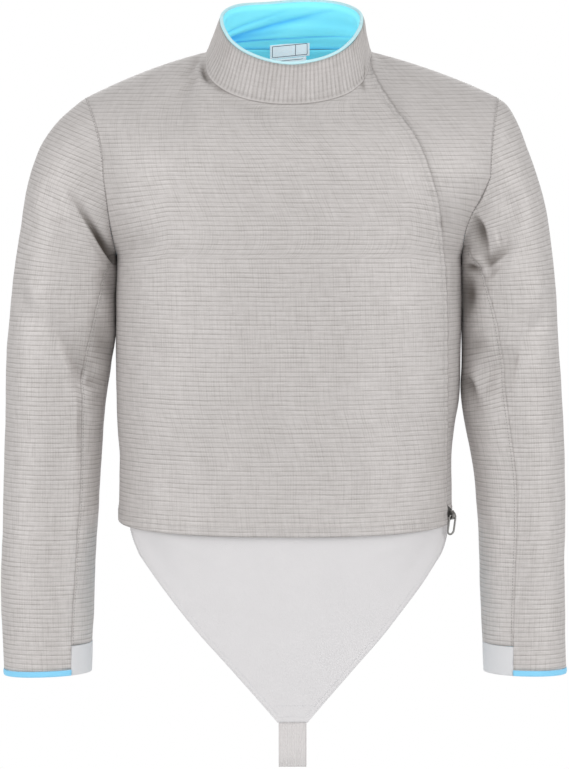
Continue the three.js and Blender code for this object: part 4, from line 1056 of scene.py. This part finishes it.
solidFolds = {
    "right": table(
        "v0 angle0 v1 angle1 width depth", (0.26, 118, 0.3, 28, 15, 5), (0.47, 140, 0.57, 62, 14, 4.5),
        (0.6, 30, 0.57, 66, 13, 4), (0.52, -30, 0.5, -110, 16, 4), (0.3, -60, 0.24, -120, 16, 4)),
    "left": table(
        "v0 angle0 v1 angle1 width depth", (0.24, 105, 0.34, 45, 15, 5), (0.5, 120, 0.56, 58, 14, 4.5),
        (0.62, 40, 0.56, 62, 13, 3.5), (0.5, -40, 0.54, -115, 16, 4), (0.28, -55, 0.23, -125, 16, 4)),
}
sleeve = {
    "roundness": 2.2, "armholeFade": 0.3, "patchHeight": 35, "trimHeight": 7, "cloth": 1.6, "trimCloth": 3.0,
    "trimProud": 0.9, "topCut": (0.455, 0.715, 0.1625), "underCut": (0.135, 0.505, 0.0570),
    "trimCut": (0.200, 0.010, 0.00157), "patchCut": (0.110, 0.037, None),
    "tuckLength": 3.5, "tuckDepth": 2.4,
}
ringAt = {
    side: smoothTable([{"k": k, **row} for k, row in enumerate(rows)], "k")
    for side, rows in sleeveRings.items()}
seamAt = {side: smoothTable(rows, "v") for side, rows in sleeveSeams.items()}


def ringValues(side, v):
    # the sleeve's rings read at the share v of its length
    k = np.asarray(v, float) * (len(sleeveRings[side]) - 1)
    return {name: ringAt[side](name, k) for name in ("inX", "inZ", "outX", "outZ", "y", "depth")}


def ovalPoint(side, ring, angle):
    # a rounded oval of the given roundness through the ring's inner and outer points
    turn, power = np.radians(angle), 2 / sleeve["roundness"]
    reach = np.sign(np.cos(turn)) * np.abs(np.cos(turn)) ** power
    middleX, middleZ = (ring["inX"] + ring["outX"]) / 2, (ring["inZ"] + ring["outZ"]) / 2
    x = middleX + (ring["inX"] - middleX) * reach
    y = ring["y"] - ring["depth"] * np.sign(np.sin(turn)) * np.abs(np.sin(turn)) ** power
    return stack(-x if side == "right" else x, y, middleZ + (ring["inZ"] - middleZ) * reach)


def armholePoint(side, angle):
    # the body's side edge: 0 degrees at the armpit and 180 at the shoulder
    share = np.abs(angle) / 180
    edge = np.zeros_like(share) + (0 if side == "right" else 1)
    v = body["armpitV"] + share * (1 - body["armpitV"])
    return np.where((angle < 0)[..., None], bodyPoint("back", edge, v), bodyPoint("front", edge, v))


def plainSleevePoint(side, angle, v):
    # an oval ring; near the armhole its own shape fades in
    angle, v = np.broadcast_arrays(np.asarray(angle, float), np.asarray(v, float))
    place = ovalPoint(side, ringValues(side, v), angle)
    wrapped = np.mod(angle + 180, 360) - 180
    own = armholePoint(side, wrapped) - ovalPoint(side, ringValues(side, np.zeros_like(v)), angle)
    fade = np.clip(1 - v / sleeve["armholeFade"], 0, 1) ** 2
    return place + own * fade[..., None]


def sleevePoint(side, angle, v):
    # the oval ring less the solid's own folds, towards the ring's middle
    place = plainSleevePoint(side, angle, v)
    ring = ringValues(side, v)
    middle = stack((ring["inX"] + ring["outX"]) / 2, ring["y"], (ring["inZ"] + ring["outZ"]) / 2)
    if side == "right":
        middle = middle * [-1, 1, 1]
    depth = np.zeros(place.shape[:-1])
    for fold in solidFolds[side]:
        ends = np.array([plainSleevePoint(side, fold[f"angle{k}"], fold[f"v{k}"]) for k in (0, 1)])
        distance, _, _ = nearLine(place, ends)
        depth += fold["depth"] * hump(distance, fold["width"])
    depth = np.where(v < 0.02, 0, depth)
    return place + unit(middle - place) * depth[..., None]


def endV(side, height):
    # the share of the sleeve's length at a height above its end
    rings = sleeveRings[side]
    last = len(rings) - 1
    return 1 - height / (rings[last - 1]["inZ"] - rings[last]["inZ"]) / last


sleeveFolds = table(
    "face x0 z0 x1 z1 x2 z2 left right height peak shade",
    # the wearer's right, front: the deep fold into the armpit, then the elbow, then the forearm
    ("front", -266, -158, -240, -197, -203, -260, 6.5, 2.2, -8.5, 0.85, 0.94),
    ("front", -276, -168, -248, -208, -214, -268, 5, 12, 3.6, 0.6, 0),
    ("front", -238, -200, -222, -222, -207, -246, 3, 4, -2.6, 0.7, 0.26),
    ("front", -209, -258, -225, -251, -247, -251, 6, 6, 1.2, 0.2, 0),
    ("front", -290, -192, -268, -208, -238, -209, 5, 7, -1.6, 0.5, 0.06),
    ("front", -286, -212, -262, -226, -240, -224, 5, 8, -1.2, 0.5, 0.04),
    ("front", -292, -300, -266, -348, -241, -393, 30, 3.5, -5.5, 0.85, 0.26),
    ("front", -298, -312, -273, -358, -248, -402, 4, 14, 2.8, 0.7, 0),
    ("front", -244, -392, -231, -398, -210, -392, 16, 4, -4.0, 0.3, 0.34),
    ("front", -246, -398, -230, -406, -212, -402, 4, 10, 2.0, 0.4, 0),
    ("front", -224, -296, -228, -330, -216, -372, 8, 12, -2.0, 0.7, 0.34),
    ("front", -248, -400, -246, -450, -250, -520, 12, 3, -1.8, 0.3, 0.14),
    ("front", -330, -390, -300, -392, -262, -410, 10, 6, -1.5, 0.5, 0.03),
    ("front", -322, -436, -292, -436, -256, -452, 14, 8, 1.4, 0.5, 0),
    ("front", -300, -500, -276, -520, -262, -556, 16, 9, -1.4, 0.5, 0.03),
    ("front", -332, -560, -300, -600, -286, -664, 18, 10, 1.3, 0.5, 0),
    ("front", -322, -660, -296, -684, -270, -716, 12, 7, 1.0, 0.5, 0),
    ("front", -318, -270, -300, -300, -270, -318, 14, 8, 1.2, 0.5, 0),
    # the wearer's left, front: the open fold at the armpit, the triangle beside it, puckers, the elbow
    ("front", 236, -150, 224, -172, 211, -196, 8, 5, 2.8, 0.5, 0),
    ("front", 210, -195, 236, -202, 232, -258, 2.4, 14, -10, 0.5, 0.82),
    ("front", 208, -246, 222, -242, 229, -254, 3, 3, 4.0, 0.5, 0),
    ("front", 207, -254, 218, -258, 230, -262, 3, 5, -5.0, 0.4, 0.90),
    ("front", 272, -227, 252, -240, 231, -256, 3, 9, -5.0, 0.85, 0.62),
    ("front", 272, -238, 252, -256, 229, -284, 12, 4, 2.6, 0.6, 0),
    ("front", 232, -262, 240, -262, 252, -250, 10, 10, -2.5, 0.3, 0.22),
    ("front", 246, -212, 247, -224, 252, -238, 2.6, 2.6, -1.8, 0.6, 0.14),
    ("front", 254, -214, 257, -226, 259, -236, 2.6, 2.6, -1.4, 0.6, 0.10),
    ("front", 240, -206, 240, -218, 246, -234, 2.6, 2.6, 1.3, 0.6, 0),
    ("front", 208, -262, 222, -284, 208, -326, 6, 10, -4.5, 0.5, 0.82),
    ("front", 209, -340, 226, -348, 244, -372, 10, 14, -2.0, 0.4, 0.26),
    ("front", 270, -350, 262, -384, 258, -450, 3.5, 26, -3.2, 0.2, 0.15),
    ("front", 276, -350, 268, -384, 264, -450, 10, 4, 1.8, 0.2, 0),
    ("front", 205, -384, 219, -392, 224, -424, 3, 10, -5.0, 0.5, 0.55),
    ("front", 212, -378, 226, -392, 230, -430, 8, 3, 3.0, 0.5, 0),
    ("front", 222, -402, 240, -408, 262, -398, 9, 5, -1.6, 0.4, 0.10),
    ("front", 318, -392, 292, -396, 268, -404, 12, 7, -1.2, 0.5, 0.02),
    ("front", 312, -430, 290, -444, 262, -448, 14, 8, 1.3, 0.5, 0),
    ("front", 300, -512, 284, -540, 262, -560, 16, 9, -1.2, 0.5, 0.02),
    ("front", 318, -566, 300, -610, 276, -660, 18, 10, 1.2, 0.5, 0),
    ("front", 296, -160, 274, -176, 250, -180, 12, 7, -1.2, 0.5, 0.03),
    ("front", 306, -286, 286, -300, 262, -306, 14, 8, 1.2, 0.5, 0),
    # behind, both sides
    ("back", -208, -250, -250, -222, -296, -196, 4, 14, -5.5, 0.2, 0.45),
    ("back", -236, -262, -268, -258, -306, -240, 12, 7, 2.2, 0.4, 0),
    ("back", -214, -384, -272, -394, -326, -374, 11, 4, -4.6, 0.3, 0.25),
    ("back", -236, -412, -276, -420, -330, -402, 12, 7, 2.6, 0.5, 0),
    ("back", -220, -440, -280, -454, -332, -440, 12, 5, -3.0, 0.4, 0.14),
    ("back", -262, -520, -286, -580, -300, -650, 18, 10, 1.6, 0.5, 0),
    ("back", -320, -540, -310, -610, -316, -690, 18, 10, -1.5, 0.5, 0),
    ("back", 208, -250, 250, -222, 290, -196, 14, 4, -5.5, 0.2, 0.45),
    ("back", 236, -262, 266, -256, 298, -240, 12, 7, 2.2, 0.4, 0),
    ("back", 210, -388, 270, -398, 316, -376, 4, 11, -4.6, 0.3, 0.25),
    ("back", 232, -414, 274, -424, 318, -406, 12, 7, 2.6, 0.5, 0),
    ("back", 218, -444, 280, -458, 320, -440, 5, 12, -3.0, 0.4, 0.14),
    ("back", 262, -520, 284, -580, 296, -650, 18, 10, 1.6, 0.5, 0),
    ("back", 310, -540, 304, -610, 312, -690, 18, 10, -1.5, 0.5, 0),
)


def sleeveRelief(side, angle, v, points, seam, alongSeam):
    # folds on the half that faces their side, broad unevenness, puckers and stitched shade along the long
    # seams, and the groove at the armhole
    wrapped = np.mod(angle + 180, 360) - 180
    facing = np.sin(np.radians(wrapped))
    rise, shade = np.zeros(angle.shape), np.zeros(angle.shape)
    for face, sign in (("front", 1), ("back", -1)):
        folds, dark = foldRelief(points, sleeveFolds, face)
        rise = rise + folds * smoothStep(0.04, 0.5, sign * facing)
        shade = shade + dark * smoothStep(-0.1, 0.15, sign * facing)
    turn = np.radians(angle) * 60
    rise = rise + 0.6 * waves(turn, points[..., 2], 71 if side == "right" else 83, 110)
    rise = rise + 0.25 * waves(turn, points[..., 2], 91 if side == "right" else 97, 38)
    pucker = 0.5 * np.sin(alongSeam * 2 * math.pi / 15 + 2 * np.sin(alongSeam / 40))
    rise = rise + (pucker - 0.6) * hump(seam, 6)
    rise = rise * smoothStep(0.0, 0.03, v) - 0.2 * smoothStep(0.006, 0.0, v)
    shade = shade + 0.20 * hump(seam, 1.3) * (0.7 + 0.3 * np.sin(alongSeam * 1.9))
    shade = shade + 0.30 * smoothStep(0.0035, 0.0, v) * (0.7 + 0.3 * np.sin(points[..., 2] * 1.9))
    return rise, np.clip(shade, 0, 1)


def grainHeight(points):
    # the weave's lines cross the upper arm squarely and dip towards the body at the elbow
    x, z = np.abs(points[..., 0]), points[..., 2]
    cap = 0.42 * smoothStep(-290, -185, z) * (296 - x)
    elbow = 0.38 * np.maximum(252 - x, 0) * hump(z + 400, 48)
    return z + cap + elbow


topShares = steps((0, 0.5, 104), (0.5, 1, 46))
underShares = np.linspace(0, 1, 45)
cuffV = {side: (endV(side, sleeve["patchHeight"]), endV(side, sleeve["trimHeight"])) for side in sleeveRings}
sleeveGrids = {}
for side in ("right", "left"):
    patchV, trimV = cuffV[side]
    outward = 1 if side == "right" else -1
    for kind, shares, end in (("top", topShares, trimV), ("under", underShares, patchV)):
        v = steps((0, 0.40, 118 if kind == "top" else 70), (0.40, 0.66, 84 if kind == "top" else 50),
                  (0.66, end, 84 if kind == "top" else 44))[:, None]
        frontSeam, backSeam = seamAt[side]("front", v), seamAt[side]("back", v)
        if kind == "top":
            angle = mix(frontSeam, 360 + backSeam, shares[None, :])
        else:
            angle = mix(backSeam, frontSeam, shares[None, :])
        v = np.broadcast_to(v, angle.shape)
        grid = sleevePoint(side, angle, v)
        normals = gridNormals(grid) * outward
        across = arcLengths(grid, 1)
        seam = np.minimum(across, across[:, [-1]] - across)
        rise, shade = sleeveRelief(side, angle, v, grid, seam, arcLengths(grid, 0))
        grid = grid + normals * rise[..., None]
        # a seam allowance behind the armhole's edge
        upwards = unit(grid[:1] - grid[3:4])
        tuck = grid[:1] + upwards * sleeve["tuckLength"] - normals[:1] * sleeve["tuckDepth"]
        grid, normals = np.concatenate([tuck, grid]), np.concatenate([normals[:1], normals])
        across, shade = np.concatenate([across[:1], across]), np.concatenate([shade[:1] + 0.3, shade])
        uv = np.stack([across - across[:, [across.shape[1] // 2]], grainHeight(grid)], -1)
        piece = clothWall(
            f"sleeve{side.capitalize()}{kind.capitalize()}", grid, uv, sleeve["cloth"],
            [materials["sleeve"], materials["lining"]], crease=shade, outward=outward, normals=normals,
            node=f"sleeve_{side}_{kind}", slot="lame")
        declare(piece, grid, sleeve[kind + "Cut"])
        sleeveGrids[f"{side} {kind}"] = (grid, normals)

    v = np.linspace(trimV, 1, 9)[:, None]
    angle = mix(seamAt[side]("front", v), 360 + seamAt[side]("back", v), topShares[None, ::2])
    v = np.broadcast_to(v, angle.shape)
    grid = sleevePoint(side, angle, v)
    roll = np.sqrt(np.clip(1 - (np.linspace(-1, 1, 9) * 0.96) ** 2, 0, 1))
    grid = grid + gridNormals(grid) * outward * (sleeve["trimProud"] * roll)[:, None, None]
    uv = np.stack([arcLengths(grid, 1), arcLengths(grid, 0)], -1)
    thickness = (0.8 + (sleeve["trimCloth"] - 0.8) * roll)[:, None]
    piece = clothWall(
        f"cuffBinding{side.capitalize()}", grid, uv, thickness, [materials["trim"]], outward=outward,
        node=f"cuff_trim_{side}", slot="trim")
    declare(piece, grid, sleeve["trimCut"])

    v = np.linspace(patchV + 0.0004, 1, 25)[:, None]
    angle = mix(seamAt[side]("back", v), seamAt[side]("front", v), underShares[None, :])
    v = np.broadcast_to(v, angle.shape)
    grid = sleevePoint(side, angle, v)
    uv = np.stack([arcLengths(grid, 1), arcLengths(grid, 0)], -1)
    soft = 0.5 * waves(uv[..., 0], uv[..., 1], 101, 40)
    grid = grid + gridNormals(grid) * outward * soft[..., None]
    piece = clothWall(
        f"cuffPatch{side.capitalize()}", grid, uv, sleeve["cloth"], [materials["patch"]], outward=outward,
        node=f"cuff_patch_{side}", slot="white_cloth")
    declare(piece, grid, sleeve["patchCut"])
print("sleeves made")

# apron and strap

apron = {
    "topZ": -543, "tipZ": -796, "inset": 4.4, "hangDepth": 76, "hangPower": 1.3, "cloth": 1.6, "hem": 6,
    "cut": (0.451, 0.333, 0.0655), "x": 4.2, "slant": 0.76, "columns": 120, "rows": 110,
}
apronHalf = smoothTable(table(
    "z half", (-796, 18), (-765, 43.5), (-725, 77.5), (-686, 111.5), (-647, 142.5), (-608, 171.5),
    (-594, 181), (-568, 190), (-543, 191),
), "z")
apronFolds = table(
    "face x0 z0 x1 z1 x2 z2 left right height peak shade",
    ("front", -178, -566, -150, -600, -108, -660, 14, 8, -2.2, 0.3, 0.06),
    ("front", 176, -566, 150, -602, 112, -656, 8, 14, -2.0, 0.3, 0.06),
    ("front", -150, -566, -118, -590, -70, -606, 12, 8, 1.5, 0.3, 0),
    ("front", 150, -568, 112, -592, 76, -604, 8, 12, 1.4, 0.3, 0),
    ("front", -40, -580, -20, -650, -12, -740, 26, 15, 1.5, 0.5, 0),
    ("front", 60, -586, 36, -660, 20, -750, 26, 15, -1.3, 0.5, 0.03),
)


def apronPoint(across, v):
    # straight across at each height, on an oval that draws back towards the tip
    z = mix(apron["tipZ"], apron["topZ"], v)
    x = across * apronHalf("half", z) + apron["x"] * np.sqrt(1 - v)
    hang = np.clip((z - body["hemZ"]) / (apron["tipZ"] - body["hemZ"]), 0, 1)
    level = np.maximum(z, body["hemZ"])
    depth = mix(bodyAt("front", level) - apron["inset"], apron["hangDepth"], hang ** apron["hangPower"])
    width = np.where(x < 0, bodyAt("right", level), bodyAt("left", level)) - apron["inset"]
    share = np.minimum(np.abs(x) / width, 0.995)
    y = body["sideY"] - depth * (1 - share ** body["roundness"]) ** (1 / body["roundness"])
    return stack(x, y, z)


acrossApron = np.linspace(-1, 1, apron["columns"] + 1)[None, :]
upApron = np.linspace(0, 1, apron["rows"] + 1)[:, None]
apronMiddle = apron["columns"] // 2
apronGrid = apronPoint(acrossApron, upApron)
apronAcross = arcLengths(apronGrid, 1)
fromSide = np.minimum(apronAcross, apronAcross[:, [-1]] - apronAcross) * apron["slant"]
hemGroove = -0.2 * hump(fromSide - apron["hem"], 1.2)
hemBand = 0.3 * smoothStep(apron["hem"] + 1, apron["hem"] - 1, fromSide)
apronUv = np.stack([apronAcross - apronAcross[:, [apronMiddle]], apronGrid[..., 2]], -1)
apronFold, apronShade = foldRelief(apronGrid, apronFolds, "front")
apronRise = apronFold + 0.5 * waves(apronUv[..., 0], apronUv[..., 1], 113, 90)
apronShade = np.clip(apronShade + 0.04 * hump(fromSide - apron["hem"], 1.1), 0, 1)
apronRise = np.minimum(apronRise, 2) * smoothStep(-548, -580, apronGrid[..., 2]) + hemGroove + hemBand
apronGrid = apronGrid + gridNormals(apronGrid) * apronRise[..., None]
apronPiece = clothWall(
    "apronCloth", apronGrid, apronUv, apron["cloth"], [materials["white"]], crease=apronShade,
    node="apron", slot="white_cloth")
declare(apronPiece, apronGrid, apron["cut"])

strap = {"x": 4.2, "width": 33, "cloth": 2, "cut": (0.033, 0.432, None)}
strapRoute = np.array([
    (-69.1, -780), (-69.1, -806), (-67, -841), (-57, -852), (-46, -841), (-22, -790), (26, -700), (82, -606),
    (103.5, -568), (106, -540)], float)


def smoothRoute(route, perSpan):
    # a centripetal spline through the route's points: cubic spans whose slopes weigh the root of each
    # distance
    route = np.concatenate([[2 * route[0] - route[1]], route, [2 * route[-1] - route[-2]]])
    gaps = np.sqrt(np.linalg.norm(np.diff(route, axis=0), axis=1))
    t = np.linspace(0, 1, perSpan, endpoint=False)[:, None]
    spans = []
    for k in range(1, len(route) - 2):
        p0, p1, p2, p3 = route[k - 1:k + 3]
        d0, d1, d2 = gaps[k - 1:k + 2]
        start = ((p1 - p0) / d0 - (p2 - p0) / (d0 + d1) + (p2 - p1) / d1) * d1
        end = ((p2 - p1) / d1 - (p3 - p1) / (d1 + d2) + (p3 - p2) / d2) * d1
        spans.append(p1 * (2 * t ** 3 - 3 * t ** 2 + 1) + start * (t ** 3 - 2 * t ** 2 + t)
                     + p2 * (3 * t ** 2 - 2 * t ** 3) + end * (t ** 3 - t ** 2))
    return np.concatenate(spans + [route[-2:-1]])


strapLine = smoothRoute(strapRoute, 12)
strapAcross = np.linspace(-0.5, 0.5, 17)[None, :] * strap["width"]
strapGrid = stack(strapAcross + strap["x"], strapLine[:, 0][:, None], strapLine[:, 1][:, None])
strapUv = np.stack([strapAcross + 0 * strapGrid[..., 0], arcLengths(strapGrid, 0)], -1)
strapPiece = clothWall(
    "strapElastic", strapGrid, strapUv, strap["cloth"], [materials["elastic"]], outward=-1,
    node="strap", slot="elastic")
declare(strapPiece, strapGrid, strap["cut"])
print("apron and strap made")

# zip end: tape, slider and ring pull

zipEnd = {
    "start": 0.6, "width": 8, "cloth": 1.2, "flare": 5, "from": 0.008, "to": 1 / 18,
    "tuckDepth": 2.4, "cut": (0.010, 0.050, 0.00047),
}
tapeV, tapeS = np.linspace(zipEnd["from"], zipEnd["to"], 31)[:, None], np.linspace(0, 1, 9)[None, :]
tapeEdgeU = closureU(tapeV)
nextU = mix(tapeEdgeU, 1, 1 / 9)
tapeEdge = bodyPoint("front", tapeEdgeU, tapeV)
tapeOut = bodyPoint("front", nextU, tapeV) - tapeEdge
tapeDirection = unit(tapeOut)
tapeSide = np.cross(unit(tapeDirection * [1, 1, 0]), [0, 0, 1])
# under the lap above the slider
tucked = smoothStep(0.016, 0.026, tapeV)
tapeReach = (zipEnd["start"] + tapeS * zipEnd["width"] - tucked * (zipEnd["width"] + 1))[..., None]
tapeLift = zipEnd["flare"] * tapeS ** 2 * (1 - tapeV * 18) - (panel["cloth"] - zipEnd["cloth"])
tapeLift = tapeLift - tucked * zipEnd["tuckDepth"]
tapeGrid = tapeEdge + tapeDirection * tapeReach + tapeSide * tapeLift[..., None]
tapeUv = np.stack([arcLengths(tapeGrid, 1), arcLengths(tapeGrid, 0)], -1)
tapePiece = clothWall(
    "zipTapeCloth", tapeGrid, tapeUv, zipEnd["cloth"], [materials["tape"]], node="zip_tape", slot="tape")
declare(tapePiece, tapeGrid, zipEnd["cut"])

pull = {"width": 9.4, "height": 22.6, "radius": 0.95, "thicker": 0.22, "lean": 10, "corner": 2}
ringJoint = frame["joints"][0]
hinge = np.array(ringJoint["pos_m"]) / mm
sideways = -np.array(ringJoint["axis"], float)


def arc(x, z, radius, start, end, count):
    # points on a circle's part, in degrees
    turn = np.radians(np.linspace(start, end, count))
    return np.stack([x + radius * np.cos(turn), z + radius * np.sin(turn)], -1)


halfWidth = pull["width"] / 2
corner = pull["corner"]
loop = np.concatenate([
    arc(halfWidth - corner, -corner, corner, 90, 0, 8),
    np.stack([np.full(8, halfWidth), np.linspace(-4, -pull["height"] + halfWidth + 2, 8)], -1),
    arc(0, -pull["height"] + halfWidth, halfWidth, 0, -180, 25),
    np.stack([np.full(8, -halfWidth), np.linspace(-pull["height"] + halfWidth + 2, -4, 8)], -1),
    arc(-halfWidth + corner, -corner, corner, 180, 90, 8),
    np.stack([np.linspace(-1.8, 1.8, 4), np.zeros(4)], -1),
])
lean = math.tan(math.radians(pull["lean"]))
loopPath = hinge + sideways * (loop[:, [0]] + loop[:, [1]] * lean) + np.array([0, 0, 1.0]) * loop[:, [1]]
wire = pull["radius"] + pull["thicker"] * smoothStep(-1.5, -6, loop[:, 1])
ringMesh = barMesh("pullRing", loopPath, wire, 16, True)
finish("pullRing", ringMesh, [materials["metal"]], node="pull_ring", slot="metal", rideOn="ring")
slider = frame["nodes"]["zip_slider"]
slider.data.materials.clear()
slider.data.materials.append(materials["metal"])
print("zip end made")

# sewing

stitchLines = []
row = int(np.argmin(np.abs(frontUp[:, 75] - panel["hemStitch"])))
outNormals = gridNormals(front)
sideOut = gridNormals(sideFront)
backOut = -gridNormals(back)
sideRow = int(np.argmin(np.abs(sideUp[:, 20] - panel["hemStitch"])))
backRow = int(np.argmin(np.abs(backUp[:, 80] - panel["hemStitch"])))
stitchLines.append((front[row], outNormals[row]))
stitchLines.append((sideFront[sideRow, 8:], sideOut[sideRow, 8:]))
stitchLines.append((back[backRow], backOut[backRow]))
lapIndex = np.argmin(np.abs(toEdge - 7), axis=1)
rows = np.arange(len(front))[: int(len(front) * 0.99)]
stitchLines.append((front[rows, lapIndex[rows]], outNormals[rows, lapIndex[rows]]))
stitches("hemAndLapStitches", stitchLines, materials["paleThread"])

sleeveLines = []
for name, (grid, normals) in sleeveGrids.items():
    if name.endswith("under"):
        for column in (1, -2):
            sleeveLines.append((grid[:, column], normals[:, column]))
    sleeveLines.append((grid[3], normals[3]))
stitches("sleeveStitches", sleeveLines, materials["greyThread"], 3.6, 2.2, 0.28)

apronNormals = gridNormals(apronGrid)
apronLines = []
for inset in (1.8, 6.0):
    for columns in (slice(0, apronMiddle + 1), slice(apronMiddle, apron["columns"] + 1)):
        distance = fromSide[:, columns]
        pick = np.argmin(np.abs(distance - inset), axis=1) + columns.start
        keep = np.arange(4, 100)
        apronLines.append((apronGrid[keep, pick[keep]], apronNormals[keep, pick[keep]]))
for up in (3, 9):
    apronLines.append((apronGrid[up, 20:101], apronNormals[up, 20:101]))
stitches("apronStitches", apronLines, materials["whiteThread"], 3.0, 2.1, 0.26)

backNeck = np.linspace(0.60, 0.915, 220)
seamRow = collarSurface(backNeck, mix(0.13, 0.32, np.linspace(0, 1, 220)) - 0.02)
seamOut = outOf(seamRow)
seamRow = seamRow - seamOut * (inwards + collar["lining"] + 2.6)
stitches("neckSeamStitches", [(seamRow, -seamOut)], materials["blueThread"], 2.6, 1.5, 0.3)
print("sewing made")

# floor, light and camera

stageSizes = {"floorZ": -1.12, "floorHalf": 1.15, "floorColour": (0.93, 0.93, 0.93), "worldLight": 0.56}
floorMesh = bpy.data.meshes.new("studioFloor")
reach, level = stageSizes["floorHalf"], stageSizes["floorZ"]
floorMesh.from_pydata(
    [(-reach, -reach, level), (reach, -reach, level), (reach, reach, level), (-reach, reach, level)],
    [], [(0, 1, 2, 3)])
floor = bpy.data.objects.new("studioFloor", floorMesh)
bpy.context.scene.collection.objects.link(floor)
floorPaint = Paint("paleFloor")
floorMesh.materials.append(floorPaint.done({"Base Color": (*stageSizes["floorColour"], 1), "Roughness": 0.9}))

world = bpy.data.worlds.new("studio")
bpy.context.scene.world = world
world.use_nodes = True
worldTree = world.node_tree
ground = worldTree.nodes["Background"]
ground.inputs["Color"].default_value = (1, 1, 1, 1)
# the camera sees plain white; the light that it gives is weaker
rays = worldTree.nodes.new("ShaderNodeLightPath")
strength = worldTree.nodes.new("ShaderNodeMapRange")
strength.inputs["To Min"].default_value = stageSizes["worldLight"]
strength.inputs["To Max"].default_value = 1.0
worldTree.links.new(rays.outputs["Is Camera Ray"], strength.inputs["Value"])
worldTree.links.new(strength.outputs["Result"], ground.inputs["Strength"])

lights = (
    {"name": "rightSoftbox", "place": (-2.4, -1.9, 0.3), "aim": (0, 0, -0.38), "size": 2.2, "power": 34},
    {"name": "leftSoftbox", "place": (2.4, -1.9, 0.3), "aim": (0, 0, -0.38), "size": 2.2, "power": 34},
    {"name": "frontSoftbox", "place": (0, -2.3, 2.2), "aim": (0, 0, -0.2), "size": 1.8, "power": 9},
    {"name": "backSoftbox", "place": (0, 3.0, 0.8), "aim": (0, 0, -0.38), "size": 2.6, "power": 42},
)
for light in lights:
    lamp = bpy.data.lights.new(light["name"], "AREA")
    lamp.shape, lamp.size, lamp.energy = "SQUARE", light["size"], light["power"]
    holder = bpy.data.objects.new(light["name"], lamp)
    bpy.context.scene.collection.objects.link(holder)
    direction = np.array(light["aim"]) - np.array(light["place"])
    flatReach = math.hypot(direction[0], direction[1])
    holder.location = light["place"]
    heading = math.atan2(direction[0], -direction[1]) + math.pi
    holder.rotation_euler = (math.atan2(flatReach, -direction[2]), 0, heading)

view = {"place": (-0.0054, -3.5912, -0.1482), "tilt": 86, "lens": 140.44, "sensor": 36}
lens = bpy.data.cameras.new("photoView")
lens.sensor_fit, lens.sensor_height, lens.lens = "VERTICAL", view["sensor"], view["lens"]
camera = bpy.data.objects.new("photoView", lens)
bpy.context.scene.collection.objects.link(camera)
camera.location = view["place"]
camera.rotation_euler = (math.radians(view["tilt"]), 0, 0)
bpy.context.scene.camera = camera
bpy.context.scene.view_settings.view_transform = "Standard"
